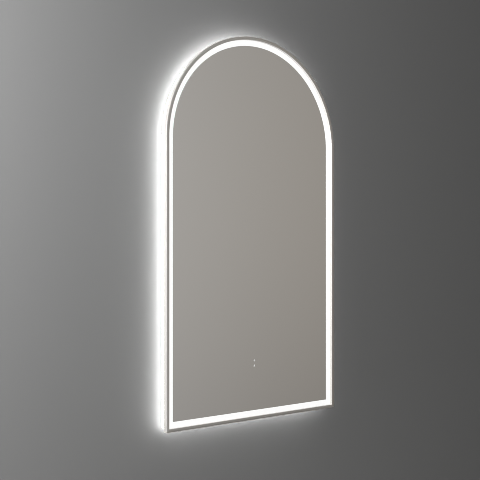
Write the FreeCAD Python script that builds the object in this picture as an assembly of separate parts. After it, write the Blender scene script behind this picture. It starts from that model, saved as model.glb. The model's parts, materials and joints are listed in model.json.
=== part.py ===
"""Arched bathroom mirror with a lit band round the pane and a lit strip behind the body.

Millimetres, +Z up. The mirror faces -Y and the wall is the plane Y = 0. The origin is the middle
of the wall rail's fixing line, so a depth written here as "off the wall" is -Y.
An "inset" is a distance inwards from the arched outline, the same all the way round.
"""

import FreeCAD, Part
import math
import os

from FreeCAD import Vector

# --- Outline -------------------------------------------------------------------------------------
WIDTH = 500.0
HEIGHT = 900.0
RAIL_DROP = 200.0  # fixing line of the wall rail below the mirror's top

# --- Frame extrusion -----------------------------------------------------------------------------
FACE_WIDTH = 7.4
FACE_THICKNESS = 2.0
SCREW_CHANNEL = 3.5  # groove between the outer wall and the lip, for keys and screws
PANE_RECESS = 6.5  # pane and band lie this far behind the frame's front
EDGE_RADIUS = 0.5
MITRE_GAP = 0.12
KEY_LEG = 26.0
KEY_CLEARANCE = 0.1
GRUB_RADIUS = 1.2
GRUB_FROM_CORNER = 17.0

# --- Light band, pane and what beds them ---------------------------------------------------------
BAND_WIDTH = 13.4  # seen between the frame's lip and the pane
EDGE_CLEARANCE = 0.35
PANE_THICKNESS = 4.0
PANE_JOINT = 0.2
PANE_ARRIS = 0.4
LEDGE_WIDTH = 10.0
LEDGE_THICKNESS = 2.0
WEB_THICKNESS = 2.0
TAPE_THICKNESS = 0.5
TAPE_MARGIN = 0.6
FILM_THICKNESS = 0.2
FILM_MARGIN = 1.0

# --- Rear tray -----------------------------------------------------------------------------------
SHEET = 1.0
TRAY_DEPTH = 17.5
TRAY_INSET = 8.0
FLANGE_INSET = 0.8
TRAY_BEND = 1.6
WALL_GAP = 5.5  # space behind the tray for the two rails
BEAD_WIDTH = 14.0
BEAD_LENGTH = 330.0
BEAD_HEIGHT = 1.2
BEAD_SPACING = 300.0
BEAD_CENTRE_HEIGHT = 285.0
TRAY_SCREW_LENGTH = 9.5
TRAY_SCREW_HEAD_RADIUS = 3.3
TRAY_SCREW_HEAD_HEIGHT = 2.4
STILE_SCREWS = 4
ARCH_SCREWS = 5
BOTTOM_SCREWS = 3
SCREW_CORNER_MARGIN = 60.0

# --- Lamp strips ---------------------------------------------------------------------------------
STRIP_WIDTH = 8.0
STRIP_THICKNESS = 0.4
STRIP_BREAK = 3.0
LAMP_PITCH = 16.7
LAMP_LENGTH = 3.5
LAMP_WIDTH = 2.8
LAMP_HEIGHT = 0.8
HALO_STRIP_OFFSET = 1.5  # from the tray's back to the strip's edge
FRONT_STRIP_OFFSET = 0.5  # from the band's ledge to the strip's edge
HALO_COVER_GAP = 0.4
HALO_COVER_WALL = 0.8
CARRIER_INSET = 24.0
CARRIER_THICKNESS = 1.2
CARRIER_FOOT = 12.0
RIVET_RADIUS = 1.6
RIVET_HEAD_RADIUS = 3.2
RIVET_HEAD_HEIGHT = 1.0
RIVET_TAIL_RADIUS = 2.2
RIVET_TAIL_HEIGHT = 1.5
CARRIER_RIVET_PITCH = 240.0

# --- Touch control and demister ------------------------------------------------------------------
MARK_HEIGHTS = (126.0, 138.0)
PAD_RADIUS = 5.2
PAD_BORE = 2.3
PAD_THICKNESS = 0.3
PIPE_RADIUS = 2.0
TOUCH_WIDTH = 36.0
TOUCH_HEIGHT = 44.0
TOUCH_DEPTH = 9.0
TOUCH_WALL = 1.4
BOARD_THICKNESS = 1.2
BOARD_CLEARANCE = 0.3
DEMISTER_WIDTH = 280.0
DEMISTER_HEIGHT = 400.0
DEMISTER_BOTTOM = 225.0
DEMISTER_THICKNESS = 0.3

# --- Boxes on the tray's floor -------------------------------------------------------------------
CASE_WALL = 1.5
CASE_EAR = 9.0
CASE_EAR_THICKNESS = 2.0
LID_THICKNESS = 1.5
DRIVER_SIZE = (150.0, 42.0)
DRIVER_CENTRE = (-75.0, 500.0)
DRIVER_DEPTH = 14.0
CONTROL_SIZE = (70.0, 38.0)
CONTROL_CENTRE = (-75.0, 290.0)
CONTROL_DEPTH = 11.0
CASE_SCREW_RADIUS = 1.5
CASE_SCREW_HEAD_RADIUS = 2.8
CASE_SCREW_HEAD_HEIGHT = 1.8

TERMINAL_SIZE = (90.0, 60.0)
TERMINAL_CENTRE = (90.0, 500.0)
TERMINAL_DEPTH = 14.0
TERMINAL_FLANGE = 8.0
TERMINAL_FIT = 0.25
BLOCK_SIZE = (30.0, 9.0, 16.0)
BLOCK_WAYS = 3
BLOCK_SCREW_RADIUS = 1.6
COVER_THICKNESS = 1.0
COVER_LAP = 12.0
COVER_SCREW_INSET = 5.0
GROMMET_BORE = 3.8
GROMMET_NECK = 6.0
GROMMET_RIM = 8.0
GROMMET_RIM_THICKNESS = 1.5
GROMMET_DROP = 16.0  # below the terminal box's centre
EARTH_CENTRE = (170.0, 470.0)
EARTH_STUD_RADIUS = 2.0
EARTH_STUD_LENGTH = 11.0
EARTH_NUT_FLATS = 7.0
EARTH_NUT_HEIGHT = 3.2
RING_OUTER = 4.2
RING_TAIL = 9.0
RING_THICKNESS = 0.8

# --- Leads ---------------------------------------------------------------------------------------
LEAD_RADIUS = 1.2
MAINS_LEAD_RADIUS = 1.4
LEAD_BEND = 9.0
LEAD_RISE = 4.0  # lead centres above the tray's floor
LEAD_HOLE_CLEARANCE = 0.4
LEAD_GROMMET_WALL = 1.2
LEAD_GROMMET_LENGTH = 3.0
MAINS_LEAD_RISES = (34.0, 42.0)  # turns above the terminal box
MAINS_LEAD_OFFSETS = (40.0, 48.0)  # from the driver's middle
EARTH_LEAD_RISE = 26.0  # turn above the terminal box
EARTH_LEAD_SLOPE = (16.0, 36.0)  # foot and head of its slope, above the ring terminal's tail
FRONT_LEAD_OFFSET = -30.0  # from the driver's middle
FRONT_LEAD_DROP = 40.0  # turn below the driver
FRONT_LEAD_SIDE_X = -135.0
FRONT_LEAD_X = -60.0  # where it passes the carrier
FRONT_LEAD_FOOT_MARGIN = 14.0
HALO_LEAD_OFFSET = 20.0
HALO_LEAD_DROP = 26.0
HALO_LEAD_X = 60.0  # where it passes the carrier and the tray's wall
CONTROL_LEAD_OFFSET = -20.0
CONTROL_LEAD_KNEES = (60.0, 90.0)  # above the control box's middle
TOUCH_LEAD_SLOPE = (26.0, 52.0)  # head and foot of its slope, above the touch housing
TOUCH_LEAD_DROP = 18.0  # turn below the control box
DEMISTER_LEAD_OFFSET = 15.0
DEMISTER_LEAD_RISES = (22.0, 55.0, 80.0)  # slope's foot, its head and the lead's end, above the control box
CLIP_SIZE = (9.0, 6.0)
CLIP_HEIGHT = 7.0
SIDE_CLIP_HEIGHTS = (150.0, 330.0)
TOUCH_CLIP_HEIGHT = 230.0

# --- Hanging -------------------------------------------------------------------------------------
RAIL_SHEET = 1.5
WALL_RAIL_LENGTH = 340.0
HANGER_LENGTH = 320.0
RAIL_LEG = 12.0  # fixing line to each edge of the wall rail's flat leg
RAIL_LIP = 11.0
RAIL_CLEARANCE = 0.35
SEAT_GAP = 0.05
HANGER_LEG = 20.0
FIXING_SPACING = 260.0
FIXING_SLOT_WIDTH = 5.5
FIXING_SLOT_LENGTH = 14.0
HANGER_RIVETS = 4
HANGER_RIVET_END = 20.0
BUMPER_RADIUS = 8.0
BUMPER_SIDE = 60.0
BUMPER_HEIGHTS = (40.0, 470.0)

# --- Screw heads ---------------------------------------------------------------------------------
DOME_SHARE = 0.5  # rounding of a head's rim, as a share of the head's height
RECESS_RADIUS_SHARE = 0.3  # of the head's radius
RECESS_DEPTH_SHARE = 0.5  # of the head's height

SPACER_SIZE = 34.0
SPACER_SIDE = 70.0  # from the side of the outline
SPACER_HEIGHTS = (120.0, 380.0)
SPACER_DROP = 140.0  # the upper one, below the top

# --- Levels off the wall and lines worked out from the sizes -------------------------------------
HALF = WIDTH / 2
BOTTOM = RAIL_DROP - HEIGHT
SPRING = BOTTOM + HEIGHT - HALF  # height of the arch's centre
TRAY_BACK = WALL_GAP
FLOOR = WALL_GAP + SHEET
FLANGE = WALL_GAP + TRAY_DEPTH  # the tray's flange meets the frame here
PANE_BACK = FLANGE + TAPE_THICKNESS
PANE_FRONT = PANE_BACK + PANE_THICKNESS
FRONT = PANE_FRONT + PANE_RECESS
FILM_BACK = PANE_BACK - FILM_THICKNESS
LEDGE_BACK = FLANGE - LEDGE_THICKNESS
FRAME_WALL = (FACE_WIDTH - SCREW_CHANNEL) / 2
CHANNEL_OUTER = FRAME_WALL
CHANNEL_INNER = FRAME_WALL + SCREW_CHANNEL
CHANNEL_MIDDLE = FACE_WIDTH / 2
BAND_OUTER = CHANNEL_INNER + EDGE_CLEARANCE
PANE_INSET = FACE_WIDTH + BAND_WIDTH
BAND_INNER = PANE_INSET - PANE_JOINT
LEDGE_INNER = PANE_INSET + LEDGE_WIDTH
TRAY_INNER = TRAY_INSET + SHEET
CARRIER_INNER = CARRIER_INSET + CARRIER_THICKNESS
FOOT_INNER = CARRIER_INNER + CARRIER_FOOT


def outline(inset):
    """Closed wire of the arch, set in from the outline, in the wall's plane."""
    half, base = HALF - inset, BOTTOM + inset
    left, right = Vector(-half, 0, base), Vector(half, 0, base)
    left_spring, right_spring = Vector(-half, 0, SPRING), Vector(half, 0, SPRING)
    crown = Vector(0, 0, SPRING + half)
    return Part.Wire([
        Part.LineSegment(left, right).toShape(),
        Part.LineSegment(right, right_spring).toShape(),
        Part.Arc(right_spring, crown, left_spring).toShape(),
        Part.LineSegment(left_spring, left).toShape(),
    ])


def plate(inset, back, front):
    """Solid arch between two levels off the wall."""
    face = Part.Face(outline(inset))
    face.translate(Vector(0, -back, 0))
    return face.extrude(Vector(0, back - front, 0))


def ring(outer, inner, back, front):
    """Arched ring between two insets and two levels off the wall."""
    return plate(outer, back, front).cut(plate(inner, back - 1, front + 1))


def block(centre_x, centre_z, size_x, size_z, back, front):
    """Box by its centre on the wall's plane and its levels off the wall."""
    corner = Vector(centre_x - size_x / 2, -front, centre_z - size_z / 2)
    return Part.makeBox(size_x, front - back, size_z, corner)


def rod(x, z, radius, back, front):
    """Round bar square to the wall."""
    return Part.makeCylinder(radius, front - back, Vector(x, -back, z), Vector(0, -1, 0))


def slot(x, z, width, length, back, front):
    """Round-ended bar square to the wall, its long side along X."""
    reach = (length - width) / 2
    ends = [rod(x + side * reach, z, width / 2, back, front) for side in (-1, 1)]
    return block(x, z, 2 * reach, width, back, front).fuse(ends)


def prism(points, back, front):
    """Solid from (x, z) points between two levels off the wall."""
    corners = [Vector(x, -back, z) for x, z in points]
    return Part.Face(Part.makePolygon(corners + corners[:1])).extrude(Vector(0, back - front, 0))


def inset_of(point):
    """How far inside the outline a point lies."""
    if point.z > SPRING:
        return HALF - math.hypot(point.x, point.z - SPRING)
    return min(HALF - abs(point.x), point.z - BOTTOM)


def at_level(edge, level):
    return all(abs(v.Y + level) < 0.01 for v in edge.Vertexes)


def at_inset(edge, inset):
    return all(abs(inset_of(v.Point) - inset) < 0.01 for v in edge.Vertexes)


def stations(inset, pitch):
    """Evenly spaced (x, z, degrees) round the arch from the middle of the bottom, anticlockwise.

    The angle is the direction of travel, so 0 runs towards +X and 90 runs up.
    """
    half, base = HALF - inset, BOTTOM + inset
    side, arc = SPRING - base, math.pi * half
    total = 2 * half + 2 * side + arc
    count = int(total / pitch)
    places = []
    for number in range(count):
        run = (number + 0.5) * total / count
        if run < half:
            places.append((run, base, 0.0))
        elif run < half + side:
            places.append((half, base + run - half, 90.0))
        elif run < half + side + arc:
            turn = (run - half - side) / half
            places.append((half * math.cos(turn), SPRING + half * math.sin(turn), 90 + math.degrees(turn)))
        elif run < half + side + arc + side:
            places.append((-half, SPRING - (run - half - side - arc), 270.0))
        else:
            places.append((run - total, base, 0.0))
    return places


def between(low, high, count):
    """Evenly spaced values with both ends included."""
    return [low + (high - low) * step / (count - 1) for step in range(count)]


def lead(corners, radius):
    """Round cable along straight runs joined by tangent arcs."""
    start, edges = corners[0], []
    for before, corner, after in zip(corners, corners[1:], corners[2:]):
        incoming = (corner - before).normalize()
        outgoing = (after - corner).normalize()
        half_turn = incoming.getAngle(outgoing) / 2
        shorter = min((corner - before).Length, (after - corner).Length)
        bend = min(LEAD_BEND, 0.45 * shorter / math.tan(half_turn))
        reach = bend * math.tan(half_turn)
        first, last = corner - incoming * reach, corner + outgoing * reach
        inward = (outgoing - incoming).normalize()
        middle = corner + inward * (bend / math.cos(half_turn) - bend)
        edges.append(Part.LineSegment(start, first).toShape())
        edges.append(Part.Arc(first, middle, last).toShape())
        start = last
    edges.append(Part.LineSegment(start, corners[-1]).toShape())
    circle = Part.Wire(Part.makeCircle(radius, corners[0], corners[1] - corners[0]))
    return Part.Wire(edges).makePipeShell([circle], True, True)


def on_floor(x, z, rise=LEAD_RISE):
    """Point of a lead's route, above the tray's floor."""
    return Vector(x, -(FLOOR + rise), z)


# --- Frame ---------------------------------------------------------------------------------------
def frame_blank():
    """The extrusion run all the way round: face, outer wall, lip, channel and rebate."""
    blank = ring(0, FACE_WIDTH, FLANGE, FRONT)
    rebate = ring(CHANNEL_OUTER, FACE_WIDTH + 1, FLANGE - 1, PANE_FRONT)
    channel = ring(CHANNEL_OUTER, CHANNEL_INNER, PANE_FRONT - 1, FRONT - FACE_THICKNESS)
    blank = blank.cut(rebate).cut(channel)
    edges = [e for e in blank.Edges if at_level(e, FRONT) and (at_inset(e, 0) or at_inset(e, FACE_WIDTH))]
    return blank.makeFillet(EDGE_RADIUS, edges)


def mitre_wedge(shrink):
    """Trapezium over the bottom rail, with 45 degree ends, drawn in by half of the mitre's gap."""
    depth = 2 * FACE_WIDTH
    low, high = HALF + 1 - shrink, HALF - depth - shrink
    corners = [(-low, BOTTOM - 1), (low, BOTTOM - 1), (high, BOTTOM + depth), (-high, BOTTOM + depth)]
    return prism(corners, FLANGE - 1, FRONT + 1)


def corner_key(side):
    """L key in the channel of one bottom corner."""
    thickness = SCREW_CHANNEL - 2 * KEY_CLEARANCE
    outer = CHANNEL_OUTER + KEY_CLEARANCE
    x, z = side * (HALF - outer), BOTTOM + outer
    corners = [
        (x, z), (x, z + KEY_LEG), (x - side * thickness, z + KEY_LEG),
        (x - side * thickness, z + thickness), (x - side * KEY_LEG, z + thickness), (x - side * KEY_LEG, z),
    ]
    return prism(corners, PANE_FRONT + KEY_CLEARANCE, FRONT - FACE_THICKNESS)


def grub_places():
    """One grub screw in each leg of each key."""
    places = []
    for side in (-1, 1):
        places.append((side * (HALF - CHANNEL_MIDDLE), BOTTOM + GRUB_FROM_CORNER))
        places.append((side * (HALF - GRUB_FROM_CORNER), BOTTOM + CHANNEL_MIDDLE))
    return places


def frame_parts():
    blank = frame_blank()
    grubs = [
        rod(x, z, GRUB_RADIUS, PANE_FRONT + KEY_CLEARANCE, FRONT - FACE_THICKNESS)
        for x, z in grub_places()
    ]
    return {
        "frame_arch": [blank.cut(mitre_wedge(0))],
        "frame_bottom_rail": [blank.common(mitre_wedge(MITRE_GAP))],
        "corner_keys": [corner_key(side).cut(grubs) for side in (-1, 1)],
        "corner_grub_screws": grubs,
    }


# --- Band and pane -------------------------------------------------------------------------------
def mirror_pane():
    pane = plate(PANE_INSET, PANE_BACK, PANE_FRONT)
    edges = [e for e in pane.Edges if at_level(e, PANE_FRONT) or at_level(e, PANE_BACK)]
    return pane.makeChamfer(PANE_ARRIS, edges)


def light_band():
    web_outer = BAND_INNER - WEB_THICKNESS
    band = ring(BAND_OUTER, BAND_INNER, PANE_BACK, PANE_FRONT)
    web = ring(web_outer, BAND_INNER, LEDGE_BACK, PANE_BACK)
    ledge = ring(web_outer, LEDGE_INNER, LEDGE_BACK, FLANGE)
    return band.fuse([web, ledge]).removeSplitter()


def pane_parts():
    return {
        "mirror_pane": [mirror_pane()],
        "light_band": [light_band()],
        "band_tape": [ring(BAND_OUTER, TRAY_INNER - TAPE_MARGIN, FLANGE, PANE_BACK)],
        "pane_tape": [ring(PANE_INSET + TAPE_MARGIN, LEDGE_INNER - TAPE_MARGIN, FLANGE, PANE_BACK)],
        "safety_film": [plate(LEDGE_INNER + FILM_MARGIN, FILM_BACK, PANE_BACK)],
    }


# --- Tray ----------------------------------------------------------------------------------------
def flange_screw_places():
    """Places of the screws that hold the tray's flange to the frame."""
    line = HALF - CHANNEL_MIDDLE
    places = []
    for z in between(BOTTOM + SCREW_CORNER_MARGIN, SPRING - SCREW_CORNER_MARGIN, STILE_SCREWS):
        places += [(-line, z), (line, z)]
    for x in between(SCREW_CORNER_MARGIN - HALF, HALF - SCREW_CORNER_MARGIN, BOTTOM_SCREWS):
        places.append((x, BOTTOM + CHANNEL_MIDDLE))
    for step in range(ARCH_SCREWS):
        turn = math.pi * (step + 0.5) / ARCH_SCREWS
        places.append((line * math.cos(turn), SPRING + line * math.sin(turn)))
    return places


def bead(grow, back, front):
    """Both pressed stiffening beads, upright and either side of the middle."""
    beads = []
    for side in (-1, 1):
        x, z = side * BEAD_SPACING / 2, BOTTOM + BEAD_CENTRE_HEIGHT
        width = BEAD_WIDTH + 2 * grow
        bar = slot(0, 0, width, BEAD_LENGTH + 2 * grow, back, front)
        bar.rotate(Vector(0, 0, 0), Vector(0, 1, 0), 90)
        bar.translate(Vector(x, 0, z))
        beads.append(bar)
    return beads


def rivet_places():
    """Rivets through the carrier's foot and the tray's floor."""
    return [(x, z) for x, z, turn in stations(CARRIER_INNER + CARRIER_FOOT / 2, CARRIER_RIVET_PITCH)]


def hanger_rivet_places():
    line = HANGER_LENGTH / 2 - HANGER_RIVET_END
    z = RAIL_LEG + RAIL_LIP + SEAT_GAP + RAIL_SHEET + HANGER_LEG / 2
    return [(x, z) for x in between(-line, line, HANGER_RIVETS)]


def terminal_corners(reach_x, reach_z):
    """The four corners of a rectangle round the terminal box's centre."""
    x, z = TERMINAL_CENTRE[0], BOTTOM + TERMINAL_CENTRE[1]
    return [(x + i * reach_x, z + k * reach_z) for i in (-1, 1) for k in (-1, 1)]


def cover_screw_places():
    return terminal_corners(
        TERMINAL_SIZE[0] / 2 + COVER_LAP - COVER_SCREW_INSET,
        TERMINAL_SIZE[1] / 2 + COVER_LAP - COVER_SCREW_INSET,
    )


def halo_lead_level():
    """The halo strip's lead leaves between the cover and the flange."""
    cover_front = TRAY_BACK + HALO_STRIP_OFFSET + STRIP_WIDTH + HALO_COVER_WALL
    return (cover_front + FLANGE - SHEET) / 2


def tray_wall_bore(radius):
    """Bore through the tray's bottom wall for the halo strip's lead and its grommet."""
    start = Vector(HALO_LEAD_X, -halo_lead_level(), BOTTOM + TRAY_INSET - 1)
    return Part.makeCylinder(radius, SHEET + 2, start, Vector(0, 0, 1))


def rear_tray():
    pan = plate(TRAY_INSET, TRAY_BACK, FLANGE)
    pan = pan.makeFillet(TRAY_BEND, [e for e in pan.Edges if at_level(e, TRAY_BACK)])
    pan = pan.fuse(bead(0, TRAY_BACK - BEAD_HEIGHT, TRAY_BACK))
    pan = pan.fuse(ring(FLANGE_INSET, TRAY_INSET + SHEET / 2, FLANGE - SHEET, FLANGE))
    pan = pan.cut(plate(TRAY_INNER, FLOOR, FLANGE + 1))
    pan = pan.cut(bead(-SHEET, TRAY_BACK - BEAD_HEIGHT + SHEET, FLOOR + 1))
    flange_bores = [rod(x, z, SCREW_CHANNEL / 2, FLANGE - SHEET - 1, FLANGE + 1)
                    for x, z in flange_screw_places()]
    floor_bores = [rod(x, z, RIVET_RADIUS, TRAY_BACK - 1, FLOOR + 1)
                   for x, z in rivet_places() + hanger_rivet_places()]
    floor_bores += [rod(x, z, CASE_SCREW_RADIUS, TRAY_BACK - 1, FLOOR + 1)
                    for x, z in cover_screw_places() + case_screw_places()]
    floor_bores.append(rod(EARTH_CENTRE[0], BOTTOM + EARTH_CENTRE[1], EARTH_STUD_RADIUS,
                           TRAY_BACK - 1, FLOOR + 1))
    opening = block(TERMINAL_CENTRE[0], BOTTOM + TERMINAL_CENTRE[1], TERMINAL_SIZE[0],
                    TERMINAL_SIZE[1], TRAY_BACK - 1, FLOOR + 1)
    wall_bore = tray_wall_bore(LEAD_RADIUS + LEAD_GROMMET_WALL)
    return pan.cut(flange_bores + floor_bores + [opening, wall_bore]).removeSplitter()


def pan_head_screw(x, z, shank, head, head_height, seat, tip):
    """Screw whose head sits on a level and whose tip points towards another."""
    towards = 1 if tip > seat else -1
    low, high = min(seat, tip), max(seat, tip)
    outside = seat - towards * head_height
    cap = rod(x, z, head, min(seat, outside), max(seat, outside))
    rim = [e for e in cap.Edges if at_level(e, outside) and len(e.Vertexes) == 1]
    cap = cap.makeFillet(DOME_SHARE * head_height, rim)
    recess_end = outside + towards * RECESS_DEPTH_SHARE * head_height
    recess = rod(x, z, RECESS_RADIUS_SHARE * head, min(outside, recess_end), max(outside, recess_end))
    return cap.cut(recess).fuse(rod(x, z, shank, low, high))


def rivet(x, z, back, front):
    """Blind rivet with its dome on the outer side and its tail inside."""
    dome = rod(x, z, RIVET_HEAD_RADIUS, back - RIVET_HEAD_HEIGHT, back)
    rim = [e for e in dome.Edges if at_level(e, back - RIVET_HEAD_HEIGHT) and len(e.Vertexes) == 1]
    dome = dome.makeFillet(DOME_SHARE * RIVET_HEAD_HEIGHT, rim)
    shank = rod(x, z, RIVET_RADIUS, back, front)
    tail = rod(x, z, RIVET_TAIL_RADIUS, front, front + RIVET_TAIL_HEIGHT)
    return dome.fuse([shank, tail])


def tray_parts():
    screws = [
        pan_head_screw(x, z, SCREW_CHANNEL / 2, TRAY_SCREW_HEAD_RADIUS, TRAY_SCREW_HEAD_HEIGHT,
                       FLANGE - SHEET, FLANGE - SHEET + TRAY_SCREW_LENGTH)
        for x, z in flange_screw_places()
    ]
    return {"rear_tray": [rear_tray()], "tray_screws": screws}


# --- Lamp strips ---------------------------------------------------------------------------------
def strip_break(back, front):
    """Gap in a strip at the middle of the bottom, where its two ends meet."""
    return block(0, BOTTOM, STRIP_BREAK, 3 * CARRIER_INSET, back, front)


def lamps(inset, middle):
    """LED packages on a strip, standing outwards from an inset."""
    packages = []
    for x, z, turn in stations(inset, LAMP_PITCH):
        lamp = Part.makeBox(LAMP_LENGTH, LAMP_WIDTH, LAMP_HEIGHT,
                            Vector(-LAMP_LENGTH / 2, -LAMP_WIDTH / 2, -LAMP_HEIGHT))
        lamp.rotate(Vector(0, 0, 0), Vector(0, 1, 0), -turn)
        lamp.translate(Vector(x, -middle, z))
        packages.append(lamp)
    return packages


def front_strip_middle():
    return LEDGE_BACK - FRONT_STRIP_OFFSET - STRIP_WIDTH / 2


def halo_strip_middle():
    return TRAY_BACK + HALO_STRIP_OFFSET + STRIP_WIDTH / 2


def carrier_bore(x):
    """Hole through the carrier's bottom wall for a lead."""
    start = Vector(x, -(FLOOR + LEAD_RISE), BOTTOM + CARRIER_INSET - 1)
    return Part.makeCylinder(LEAD_RADIUS + LEAD_HOLE_CLEARANCE, CARRIER_THICKNESS + 2, start, Vector(0, 0, 1))


def led_carrier():
    wall = ring(CARRIER_INSET, CARRIER_INNER, FLOOR, LEDGE_BACK)
    foot = ring(CARRIER_INSET, FOOT_INNER, FLOOR, FLOOR + CARRIER_THICKNESS)
    bores = [rod(x, z, RIVET_RADIUS, FLOOR - 1, FLOOR + CARRIER_THICKNESS + 1) for x, z in rivet_places()]
    bores += [carrier_bore(HALO_LEAD_X), carrier_bore(FRONT_LEAD_X)]
    return wall.fuse(foot).cut(bores).removeSplitter()


def halo_cover():
    """Translucent channel over the halo strip."""
    middle = halo_strip_middle()
    inner = TRAY_INSET - STRIP_THICKNESS - LAMP_HEIGHT - HALO_COVER_GAP
    reach = STRIP_WIDTH / 2 + HALO_COVER_WALL
    channel = ring(inner - HALO_COVER_WALL, TRAY_INSET, middle - reach, middle + reach)
    return channel.cut(ring(inner, TRAY_INSET + 1, middle - STRIP_WIDTH / 2, middle + STRIP_WIDTH / 2))


def strip(inset, middle):
    """Flexible strip on an outward face, broken at the bottom."""
    low, high = middle - STRIP_WIDTH / 2, middle + STRIP_WIDTH / 2
    return ring(inset - STRIP_THICKNESS, inset, low, high).cut(strip_break(low - 1, high + 1))


def lead_grommet():
    """Rubber collar in the bore of the tray's bottom wall."""
    level, low = halo_lead_level(), BOTTOM + TRAY_INSET
    axis = Vector(0, 0, 1)
    collar = Part.makeCylinder(LEAD_RADIUS + LEAD_GROMMET_WALL, SHEET, Vector(HALO_LEAD_X, -level, low), axis)
    lip = Part.makeCylinder(LEAD_RADIUS + 1.5 * LEAD_GROMMET_WALL, LEAD_GROMMET_WALL,
                            Vector(HALO_LEAD_X, -level, low + SHEET), axis)
    bore = Part.makeCylinder(LEAD_RADIUS, LEAD_GROMMET_LENGTH + 2, Vector(HALO_LEAD_X, -level, low - 1), axis)
    return collar.fuse(lip).cut(bore)


def strip_parts():
    rivets = [rivet(x, z, TRAY_BACK, FLOOR + CARRIER_THICKNESS) for x, z in rivet_places()]
    return {
        "led_carrier": [led_carrier()],
        "carrier_rivets": rivets,
        "front_led_strip": [strip(CARRIER_INSET, front_strip_middle())],
        "front_leds": lamps(CARRIER_INSET - STRIP_THICKNESS, front_strip_middle()),
        "halo_led_strip": [strip(TRAY_INSET, halo_strip_middle())],
        "halo_leds": lamps(TRAY_INSET - STRIP_THICKNESS, halo_strip_middle()),
        "halo_cover": [halo_cover()],
        "halo_lead_grommet": [lead_grommet()],
    }


# --- Touch control and demister ------------------------------------------------------------------
def touch_parts():
    middle = BOTTOM + sum(MARK_HEIGHTS) / len(MARK_HEIGHTS)
    marks = [BOTTOM + height for height in MARK_HEIGHTS]
    back = FILM_BACK - TOUCH_DEPTH
    board_back = back + TOUCH_WALL + BOARD_CLEARANCE
    board_front = board_back + BOARD_THICKNESS
    hollow = (TOUCH_WIDTH - 2 * TOUCH_WALL, TOUCH_HEIGHT - 2 * TOUCH_WALL)
    housing = block(0, middle, TOUCH_WIDTH, TOUCH_HEIGHT, back, FILM_BACK)
    housing = housing.cut(block(0, middle, hollow[0], hollow[1], back + TOUCH_WALL, FILM_BACK + 1))
    posts = [
        rod(i * (hollow[0] / 2 - TOUCH_WALL), middle + k * (hollow[1] / 2 - TOUCH_WALL), TOUCH_WALL,
            back + TOUCH_WALL, board_back)
        for i in (-1, 1) for k in (-1, 1)
    ]
    board = block(0, middle, hollow[0] - 2 * BOARD_CLEARANCE, hollow[1] - 2 * BOARD_CLEARANCE,
                  board_back, board_front)
    pads = [rod(0, z, PAD_RADIUS, FILM_BACK - PAD_THICKNESS, FILM_BACK)
            .cut(rod(0, z, PAD_BORE, FILM_BACK - 1, FILM_BACK + 1)) for z in marks]
    demister = block(0, BOTTOM + DEMISTER_BOTTOM + DEMISTER_HEIGHT / 2, DEMISTER_WIDTH, DEMISTER_HEIGHT,
                     FILM_BACK - DEMISTER_THICKNESS, FILM_BACK)
    return {
        "touch_housing": [housing.fuse(posts)],
        "touch_board": [board],
        "touch_pads": pads,
        "icon_light_pipes": [rod(0, z, PIPE_RADIUS, board_front, FILM_BACK) for z in marks],
        "demister_pad": [demister],
    }


# --- Boxes on the tray's floor -------------------------------------------------------------------
def ear_screw_places(size, centre):
    """One screw in the ear at each end of a box."""
    reach = size[0] / 2 + CASE_EAR / 2
    return [(centre[0] + side * reach, BOTTOM + centre[1]) for side in (-1, 1)]


def case_screw_places():
    return ear_screw_places(DRIVER_SIZE, DRIVER_CENTRE) + ear_screw_places(CONTROL_SIZE, CONTROL_CENTRE)


def boxed_unit(size, centre, depth):
    """Case with two ears, its lid and its two screws."""
    x, z = centre[0], BOTTOM + centre[1]
    top = FLOOR + depth - LID_THICKNESS
    case = block(x, z, size[0], size[1], FLOOR, top)
    ears = block(x, z, size[0] + 2 * CASE_EAR, 2 * CASE_EAR, FLOOR, FLOOR + CASE_EAR_THICKNESS)
    case = case.fuse(ears)
    hollow = block(x, z, size[0] - 2 * CASE_WALL, size[1] - 2 * CASE_WALL, FLOOR + CASE_WALL, top + 1)
    places = ear_screw_places(size, centre)
    bores = [rod(px, pz, CASE_SCREW_RADIUS, FLOOR - 1, FLOOR + CASE_EAR_THICKNESS + 1) for px, pz in places]
    screws = [
        pan_head_screw(px, pz, CASE_SCREW_RADIUS, CASE_SCREW_HEAD_RADIUS, CASE_SCREW_HEAD_HEIGHT,
                       FLOOR + CASE_EAR_THICKNESS, TRAY_BACK)
        for px, pz in places
    ]
    lid = block(x, z, size[0], size[1], top, top + LID_THICKNESS)
    return case.cut([hollow] + bores), lid, screws


def terminal_box():
    """Tub in the tray's opening, open towards the wall, with a flange inside the tray."""
    x, z = TERMINAL_CENTRE[0], BOTTOM + TERMINAL_CENTRE[1]
    outer = (TERMINAL_SIZE[0] - 2 * TERMINAL_FIT, TERMINAL_SIZE[1] - 2 * TERMINAL_FIT)
    tub = block(x, z, outer[0], outer[1], TRAY_BACK, FLOOR + TERMINAL_DEPTH)
    flange = block(x, z, TERMINAL_SIZE[0] + 2 * TERMINAL_FLANGE, TERMINAL_SIZE[1] + 2 * TERMINAL_FLANGE,
                   FLOOR, FLOOR + CASE_WALL)
    hollow = block(x, z, outer[0] - 2 * CASE_WALL, outer[1] - 2 * CASE_WALL,
                   TRAY_BACK - 1, FLOOR + TERMINAL_DEPTH - CASE_WALL)
    bores = [tub_bore(number) for number in range(BLOCK_WAYS)]
    bores += [rod(px, pz, CASE_SCREW_RADIUS, FLOOR - 1, FLOOR + CASE_WALL + 1)
              for px, pz in cover_screw_places()]
    return tub.fuse(flange).cut([hollow] + bores)


def block_level():
    """Back of the terminal block, on the tub's inner face."""
    return FLOOR + TERMINAL_DEPTH - CASE_WALL - BLOCK_SIZE[1]


def block_centre():
    return TERMINAL_CENTRE[0], BOTTOM + TERMINAL_CENTRE[1] + TERMINAL_SIZE[1] / 4


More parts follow.
